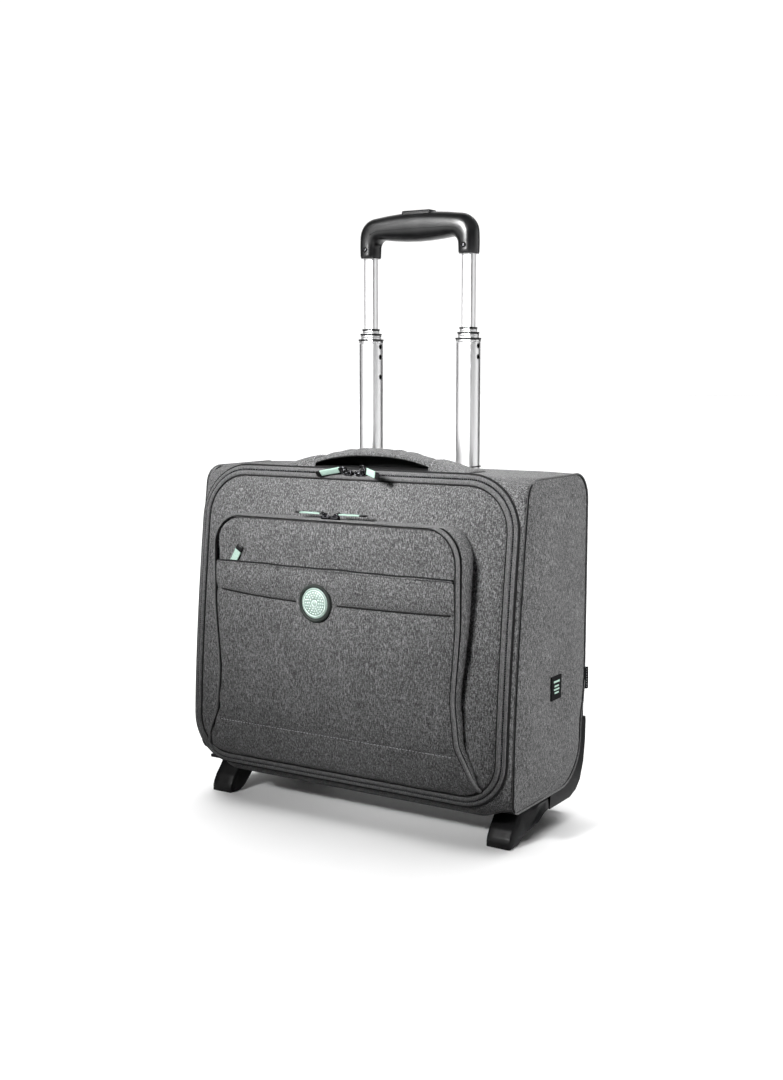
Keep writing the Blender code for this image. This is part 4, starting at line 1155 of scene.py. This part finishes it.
def pulls():
    for label, side, x, yaw, tilt, roll, rise, tab_from in MAIN_PULLS:
        at = Matrix.Translation((x, front_y(MAIN_ZIP_Z) - MAIN_PULL_OUT, MAIN_ZIP_Z + rise))
        for degrees, axis in ((yaw, "Z"), (side * tilt, "Y"), (90 - side * 90, "Z"), (roll, "X")):
            at @= Matrix.Rotation(radians(degrees), 4, axis)
        pull("main_puller_" + label, at, PULL_LONG, tab_from, ring=0.0032)
        slider_dress("main_slider_" + label, (1, 0, 0), (0, -1, 0))
    for label, side in SIDES:
        at = Matrix.Translation((POCKET_ZIP_X + side * 0.0058, split_y(POCKET_TOP_Z),
                                 POCKET_TOP_Z + POCKET_PULL_UP))
        flat = Matrix.Rotation(pi / 2, 4, "X") @ Matrix.Rotation(radians(90 - side * 90), 4, "Y")
        pull("pocket_puller_" + label, at @ flat, PULL_LONG, ring=0.0024)
        slider_dress("pocket_slider_" + label, (1, 0, 0), (0, 0, 1))
    at = Matrix.Translation((-0.1345, pocket_y(SLASH_Z) + 0.0022, SLASH_Z - 0.0025))
    pull("slash_puller", at @ Matrix.Rotation(radians(-59), 4, "Y"), 0.0262, 0.003, 0.0066, 0.0088)
    for name in ("main_slider_left", "main_slider_right", "pocket_slider_left", "pocket_slider_right",
                 "slash_slider"):
        finish_node(name, ZIP_METAL)


# ---------------------------------------------------------------- trolley handle, wheels and feet
def finish_node(name, finish, edge=0.0):
    node = nodes[name]
    node.data.materials.clear()
    node.data.materials.append(finish)
    node.data.polygons.foreach_set("use_smooth", [True] * len(node.data.polygons))
    if edge:
        step = node.modifiers.new("edge", "BEVEL")
        step.width = edge
        step.segments = 2
        step.limit_method = "ANGLE"
        step.angle_limit = radians(40)
    shade = node.modifiers.new("shade", "WEIGHTED_NORMAL")
    shade.keep_sharp = True


GRIP_FOOT_Z = 0.6279
GRIP_HALF_Y = 0.0130
RECESS_PROFILE = ((0.0034, 0.0), (0.0031, 0.0007), (0.0022, 0.0009), (0.0020, 0.0004))
HEAD_PROFILE = ((0.0019, 0.0), (0.0019, 0.0005), (0.0013, 0.0009), (0.0005, 0.0006))


def grip():
    """Bar of the handle: a smooth swept shape between its outer and inner outlines."""
    outer = [(0.0764, GRIP_FOOT_Z), (0.0768, 0.6400)] + arc(0.0556, 0.6524, 0.0210, 0, 84, 12)
    outer += [(0.040, 0.6755), (0.020, 0.6771), (0.0, 0.6775)]
    inner = [(0.0556, GRIP_FOOT_Z), (0.0552, 0.6360)] + arc(0.0455, 0.6385, 0.0096, 5, 84, 12)
    inner += [(0.033, 0.6464), (0.016, 0.6450), (0.0, 0.6445)]
    half_bar = list(zip(spread(outer, 0.001, 45), spread(inner, 0.001, 45)))
    full = half_bar + [(o * (-1, 1), i * (-1, 1)) for o, i in reversed(half_bar[:-1])]
    sides = 28
    points = []
    for index, (o, i) in enumerate(full):
        pinch = 0.94 if index in (0, len(full) - 1) else 1.0
        for u, v in circle(sides, 0.78, 0.78):
            x, z = (o + i) / 2 + (o - i) / 2 * pinch * u
            points.append((x, TUBE_Y + GRIP_HALF_Y * pinch * v, z))
    made = lofted("grip_bar", points, len(full), sides, GRIP)
    made.data.set_sharp_from_angle(angle=radians(50))
    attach(made, "handle")
    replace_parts(made, "grip_front_shell", "grip_rear_shell")
    line = [(o[0], TUBE_Y, o[1]) for o, i in full]
    out = [(o[0] - i[0], 0, o[1] - i[1]) for o, i in full]
    # The parting line is a real ridge; its lighter grey is a painted highlight.
    rope("grip_parting", line, out, 0.00040, 0.00030, PARTING_PAINTED_HIGHLIGHT, "handle", False, 6)
    groove = [o * 0.42 + i * 0.58 for o, i in full[14:-14]]
    line = [(p[0], TUBE_Y - 0.01295, p[1]) for p in groove]
    rope("grip_mould_line", line, FORWARD, 0.00022, 0.0002, SEAM, "handle", False, 6)
    for label, side in SIDES:
        at = (side * TUBE_X, TUBE_Y - GRIP_HALF_Y + 0.0003, 0.6370)
        turned("grip_screw_recess_" + label, RECESS_PROFILE, at, SEAM, "handle", 24)
        sunk = Vector(at) + Vector((0, 0.0001, 0))
        head = turned("grip_screw_head_" + label, HEAD_PROFILE, sunk, ZIP_METAL, "handle", 24)
        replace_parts(head, "grip_screw_" + label)
    finish_node("push_button", GRIP)
    finish_node("lock_yoke", STEEL)


def tube_ring(side, half, radius, z, steps=6):
    """Rounded rectangle round a tube, level at z."""
    a, b = half
    corners = [(-a, -b, radius), (a, -b, radius), (a, b, radius), (-a, b, radius)]
    return [(side * TUBE_X + u, TUBE_Y + v, z) for u, v in fillet(corners, steps)]


def collar(name, side, half, hole, low, high, finish, body, edge=0.0003):
    """Rounded rectangular ring round a tube."""
    small = [h - edge for h in half]
    rows = [tube_ring(side, *row) for row in ((small, 0.0042, low), (half, 0.0045, low + edge),
                                              (half, 0.0045, high - edge), (small, 0.0042, high),
                                              (hole, 0.0035, high), (hole, 0.0035, low))]
    return lofted(name, np.vstack(rows), len(rows), len(rows[0]), finish, body, True)


HOLE_PROFILE = ((0.0029, 0.0), (0.0029, 0.0002), (0.0025, 0.0002), (0.0025, -0.0006))


def tubes():
    for label, side in SIDES:
        for stage in (1, 2, 3, 4):
            finish_node("stage%d_tube_%s" % (stage, label), ALUMINIUM[label])
        for stage in (1, 2, 3):
            node = "stage%d_ferrule_%s" % (stage, label)
            low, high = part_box(node)
            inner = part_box("stage%d_tube_%s" % (stage + 1, label))
            hole = [(inner[1][k] - inner[0][k]) / 2 + 0.0002 for k in (0, 1)]
            half = [(high[k] - low[k]) / 2 for k in (0, 1)]
            split = high[2] - 0.0018
            body = "stage%d" % stage
            cap = collar(node + "_cap", side, half, hole, split, high[2], PLASTIC, body)
            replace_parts(cap, node)
            half = [h - 0.0004 for h in half]
            collar(node + "_band", side, half, hole, low[2], split - 0.0001, ALUMINIUM[label], body)
        finish_node("guide_tube_" + label, STEEL)
        face_x = side * TUBE_X + 0.0235 / 2
        # Painted shade: each hole is a black cup on the tube's face, standing in for the shade inside the
        # hole.
        for index, z in enumerate((0.5252, 0.5131, 0.4898) if side < 0 else (0.5250, 0.5127)):
            turned("tube_hole_%s_%d" % (label, index), HOLE_PROFILE, (face_x, TUBE_Y + 0.0018, z), SEAM,
                   "stage1", 20,
                   Matrix.Rotation(pi / 2, 4, "Z") @ Matrix.Diagonal((0.9, 1, 1, 1)))
        path = tube_ring(side, (0.0130, 0.0115), 0.005, TOP_Z + 0.0008, 5)
        rope("tube_collar_" + label, path, (0, 0, 1), 0.0009, 0.0007, PLASTIC, "case", sides=10)
    finish_node("tube_base_bracket", PLASTIC)
    finish_node("back_board", BOARD)
    finish_node("base_board", BOARD)
    finish_node("laptop_divider", LINING, 0.0015)


FOOT = ((-0.1430, 0.0), (-0.1262, 0.0), (-0.1215, 0.0012), (-0.1150, 0.0052), (-0.1085, 0.0108),
        (-0.1010, 0.0172), (-0.0930, 0.0228), (-0.0850, 0.0262), (-0.0742, 0.0278), (-0.0742, 0.0340),
        (-0.0760, 0.0410), (-0.1190, 0.0410), (-0.1230, 0.0350), (-0.1300, 0.0260), (-0.1365, 0.0190),
        (-0.1415, 0.0110), (-0.1432, 0.0060))
# share of the way across the foot, and how far its outline is drawn in there
FOOT_INSETS = ((0.0, 0.0012), (0.02, 0.0004), (0.06, 0.0), (0.3, 0.0), (0.7, 0.0), (0.94, 0.0),
               (0.98, 0.0004), (1.0, 0.0012))
FOOT_BEVEL = 0.225
FOOT_X = 0.1711


def foot(label, side):
    """Moulded foot: a curved column that runs back into the wheel guard, lightly crowned on its faces."""
    outline = resample([(y, z) for y, z in FOOT], 0.0016)
    rows = []
    for t, inset in FOOT_INSETS:
        ring = grown(outline, -inset)
        for y, z in ring:
            back = smooth((y + 0.126) / 0.030) * smooth(z / 0.024)
            out = 0.1995 + 0.0111 * back
            rows.append((side * (FOOT_X + (out - FOOT_X) * t), TUBE_Y + y, max(0.0, z)))
    count = len(outline)
    ends = []
    for base in (0, (len(FOOT_INSETS) - 1) * count):
        centre = len(rows)
        ring = np.array(rows[base:base + count])
        rows += [tuple(p + (ring.mean(axis=0) - p) * FOOT_BEVEL) for p in ring]
        ends += [(base + k, base + (k + 1) % count, centre + (k + 1) % count,
                  centre + k) for k in range(count)]
        ends.append(tuple(centre + k for k in range(count)))
    made = add_mesh("foot_column_" + label, rows, loft_faces(len(FOOT_INSETS), count, True) + ends, PLASTIC)
    fix_normals(made)
    made.data.set_sharp_from_angle(angle=radians(55))
    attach(made, "case")
    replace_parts(made, "foot_" + label)


SCREW_PROFILE = ((0.0024, 0.0), (0.0023, -0.0008), (0.0016, -0.0012), (0.0008, -0.0009))


def wheels_and_feet():
    for label, side in SIDES:
        for part, finish in (("tyre", RUBBER), ("wheel_hub", HUB), ("bearing", STEEL), ("axle", STEEL)):
            finish_node("%s_%s" % (part, label), finish)
        finish_node("wheel_housing_" + label, PLASTIC, 0.0014)
        foot(label, side)
        plate_x = sorted((side * 0.1660, side * 0.2060))
        plate = brick("foot_plate_" + label, (plate_x[0], TUBE_Y - 0.1385, 0.0380),
                      (plate_x[1], TUBE_Y - 0.1080, 0.0419), PLASTIC, "case")
        soften(plate, 0.0009)
        for index, y in enumerate((TUBE_Y - 0.1345, TUBE_Y - 0.1130)):
            turned("foot_screw_%s_%d" % (label, index), SCREW_PROFILE, (side * 0.1686, y, 0.0380), STEEL,
                   "case", 20,
                   Matrix.Rotation(-pi / 2, 4, "X"))


# lower and upper share of the label's height, and inset from its ends
LABEL_BARS = ((0.72, 0.80, 0.0050), (0.26, 0.33, 0.0070), (0.40, 0.47, 0.0055), (0.54, 0.61, 0.0070))


def labels():
    """Blank woven patch on the side, and a folded loop tag at the back seam."""
    (y0, y1), (z0, z1) = LABEL_Y, LABEL_Z
    x = HALF_W + 0.0032
    made = soften(brick("side_label", (x - 0.0012, y0, z0), (x + 0.0003, y1, z1), STRAP, "case"), 0.0004)
    for index, (a, b, inset) in enumerate(LABEL_BARS):
        low = (x + 0.0001, y0 + inset, z0 + (z1 - z0) * a)
        high = (x + 0.0006, y1 - inset, z0 + (z1 - z0) * b)
        soften(brick("side_label_bar_%d" % index, low, high, MINT_TAPE, "case"), 0.0002)
    ring = [(y0 + 0.001, z0 + 0.001), (y1 - 0.001, z0 + 0.001), (y1 - 0.001, z1 - 0.001),
            (y0 + 0.001, z1 - 0.001)]
    line = [(x + 0.0003, y, z) for y, z in resample(ring, 0.002)]
    studs("side_label_stitches", line, (1, 0, 0), (0.0016, 0.0005, 0.0005), 0.0025, SEAM, "case")
    turn = Matrix.Translation((HALF_W - 0.0022, BACK_Y - 0.0030, 0)) @ Matrix.Rotation(radians(54), 4, "Z")
    tag = soften(brick("back_tag", (0.0, -0.0012, 0.1430), (0.0084, 0.0012, 0.1680), STRAP, None), 0.0008)
    tag.data.transform(turn)
    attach(tag, "case")
    line = [turn @ Vector((0.0060, -0.0012, z)) for z in np.linspace(0.1455, 0.1655, 12)]
    out = turn.to_3x3() @ Vector((0, -1, 0))
    studs("back_tag_stitches", line, out, (0.0016, 0.0006, 0.0005), 0.0027, THREAD, "case", False, 0.0001)


# ---------------------------------------------------------------- studio
FLOOR_HALF = 30.0
FLAG_HIGH = 2.0
# angle about the object in degrees, distance and width
FLAGS = ((181, 1.6, 1.4), (86, 1.7, 1.0), (-48, 2.0, 1.1))
FLOOR_FLAGS = ((0.26, 1.5, -0.05, 1.4), (-1.4, 0.15, -1.6, -0.26))
SKIRT_X, SKIRT_Y, SKIRT_Z = 0.19, 0.088, (0.010, 0.041)
# as the flags, then lower and upper edge and the strength of the glow
CARDS = ((238, 2.5, 1.5, 0.02, 1.1, 1.05), (238, 2.4, 1.6, 1.75, 2.5, 5.0), (56, 2.5, 1.1, 0.02, 1.2, 1.0))
BEHIND = (-0.535, 0.845, 0.0)
# how far a ray goes that way, from and to, and the light it finds at each
BEHIND_LIGHT = (0.35, 0.80, 0.12, 1.08)
HORIZON_LIGHT = (-0.06, -0.01, 0.06, 1.0)


def stage_board(name, corners, material):
    """Flat piece of the studio that only reflections see."""
    made = add_mesh(name, corners, [(0, 1, 2, 3)], material)
    made.visible_camera = made.visible_diffuse = made.visible_shadow = False
    return made


def standing(angle, distance, width, low, high):
    """Corners of an upright board that faces the object from an angle about it."""
    a = radians(angle)
    middle = Vector((cos(a), sin(a), 0)) * distance
    side = Vector((-sin(a), cos(a), 0)) * width / 2
    return [middle + side * across + Vector((0, 0, z)) for across,
            z in ((-1, low), (1, low), (1, high), (-1, high))]


def lying(x0, x1, y0, y1, z):
    return [(x0, y0, z), (x1, y0, z), (x1, y1, z), (x0, y1, z)]


def make_floor():
    pale = Tree("pale_floor", 0.6, 0.0, 0.3)
    grain = pale.noise(6, (1, 1, 1), 2.0)
    pale.color(pale.ramp(grain, [(0.3, (0.90, 0.90, 0.90)), (0.7, (0.93, 0.93, 0.93))]))
    floor = add_mesh("floor", lying(-FLOOR_HALF, FLOOR_HALF, -FLOOR_HALF, FLOOR_HALF, 0), [(0, 1, 2, 3)],
                     pale.material)
    floor.visible_diffuse = False
    return floor


def boards():
    """Black flags and glowing cards for the reflections, and a skirt that shades the floor under the case."""
    black = Tree("black_flag", 0.9, 0.0, 0.0)
    black.set("Base Color", (0.01, 0.01, 0.01, 1))
    for index, (angle, distance, width) in enumerate(FLAGS):
        stage_board("flag_%d" % index, standing(angle, distance, width, 0, FLAG_HIGH), black.material)
    for index, area in enumerate(FLOOR_FLAGS):
        stage_board("floor_flag_%d" % index, lying(*area, 0.001), black.material)
    low, high = SKIRT_Z
    corners = ((-SKIRT_X, low), (SKIRT_X, low), (SKIRT_X, high), (-SKIRT_X, high))
    skirt = stage_board("skirt", [(x, SKIRT_Y, z) for x, z in corners], black.material)
    skirt.visible_diffuse = skirt.visible_shadow = True
    skirt.visible_glossy = False
    for index, (*where, glow) in enumerate(CARDS):
        white = Tree("white_card_%d" % index, 0.9, 0.0, 0.0)
        white.set("Emission Color", (1, 1, 1, 1))
        white.set("Emission Strength", glow)
        stage_board("card_%d" % index, standing(*where), white.material)


def sky():
    """World light: bright behind the object, dim in front of it, and dark below the horizon."""
    world = bpy.data.worlds.new("studio")
    world.use_nodes = True
    tree = world.node_tree
    scene.world = world

    def made(kind, operation=None, **values):
        node = tree.nodes.new("ShaderNode" + kind)
        if operation:
            node.operation = operation
        for socket, value in values.items():
            node.inputs[socket.replace("_", " ")].default_value = value
        return node

    place = made("TexCoord")
    both = made("Math", "MULTIPLY")
    for index, (direction, limits) in enumerate(((BEHIND, BEHIND_LIGHT), ((0.0, 0.0, 1.0), HORIZON_LIGHT))):
        along = made("VectorMath", "DOT_PRODUCT")
        along.inputs[1].default_value = direction
        light = made("MapRange", From_Min=limits[0], From_Max=limits[1], To_Min=limits[2], To_Max=limits[3])
        tree.links.new(place.outputs["Generated"], along.inputs[0])
        tree.links.new(along.outputs["Value"], light.inputs["Value"])
        tree.links.new(light.outputs["Result"], both.inputs[index])
    tree.links.new(both.outputs[0], tree.nodes["Background"].inputs["Strength"])
    tree.nodes["Background"].inputs["Color"].default_value = (1, 1, 1, 1)


def placed(name, light, direction):
    made = bpy.data.objects.new(name, light)
    scene.collection.objects.link(made)
    made.rotation_euler = direction.to_track_quat("-Z", "Y").to_euler()
    return made


def lamp(name, at, aim, watts, size, spread):
    """Rectangular lamp at a point, turned towards another."""
    light = bpy.data.lights.new(name, "AREA")
    light.energy = watts
    light.shape = "RECTANGLE"
    light.size, light.size_y = size
    light.spread = radians(spread)
    made = placed(name, light, Vector(aim) - Vector(at))
    made.location = at
    return made


def receivers(name, floor, state):
    """A set for light linking that holds the floor, included or left out."""
    group = bpy.data.collections.new(name)
    group.objects.link(floor)
    group.collection_objects[0].light_linking.link_state = state
    return group


def studio():
    floor = make_floor()
    boards()
    sky()
    lamp("key", (-0.35, -1.60, 1.15), (0.0, -0.08, 0.50), 5.0, (0.45, 0.45), 28)
    strip_lamp = lamp("strip", (1.85, 0.30, 1.0), (0.2, 0.0, 0.32), 28, (0.8, 1.2), 90)
    strip_lamp.visible_glossy = False
    strip_lamp.light_linking.receiver_collection = receivers("not_floor", floor, "EXCLUDE")
    sun = bpy.data.lights.new("overhead", "SUN")
    sun.energy = 3.8
    sun.angle = radians(66)
    overhead = placed("overhead", sun, Vector((0.05, -0.17, -1.0)))
    overhead.light_linking.receiver_collection = receivers("floor_only", floor, "INCLUDE")
    scene.view_settings.view_transform = "Standard"


lid()
front_gusset()
wrap()
side_panels()
carry_handle()
pocket()
pulls()
grip()
tubes()
wheels_and_feet()
labels()
studio()
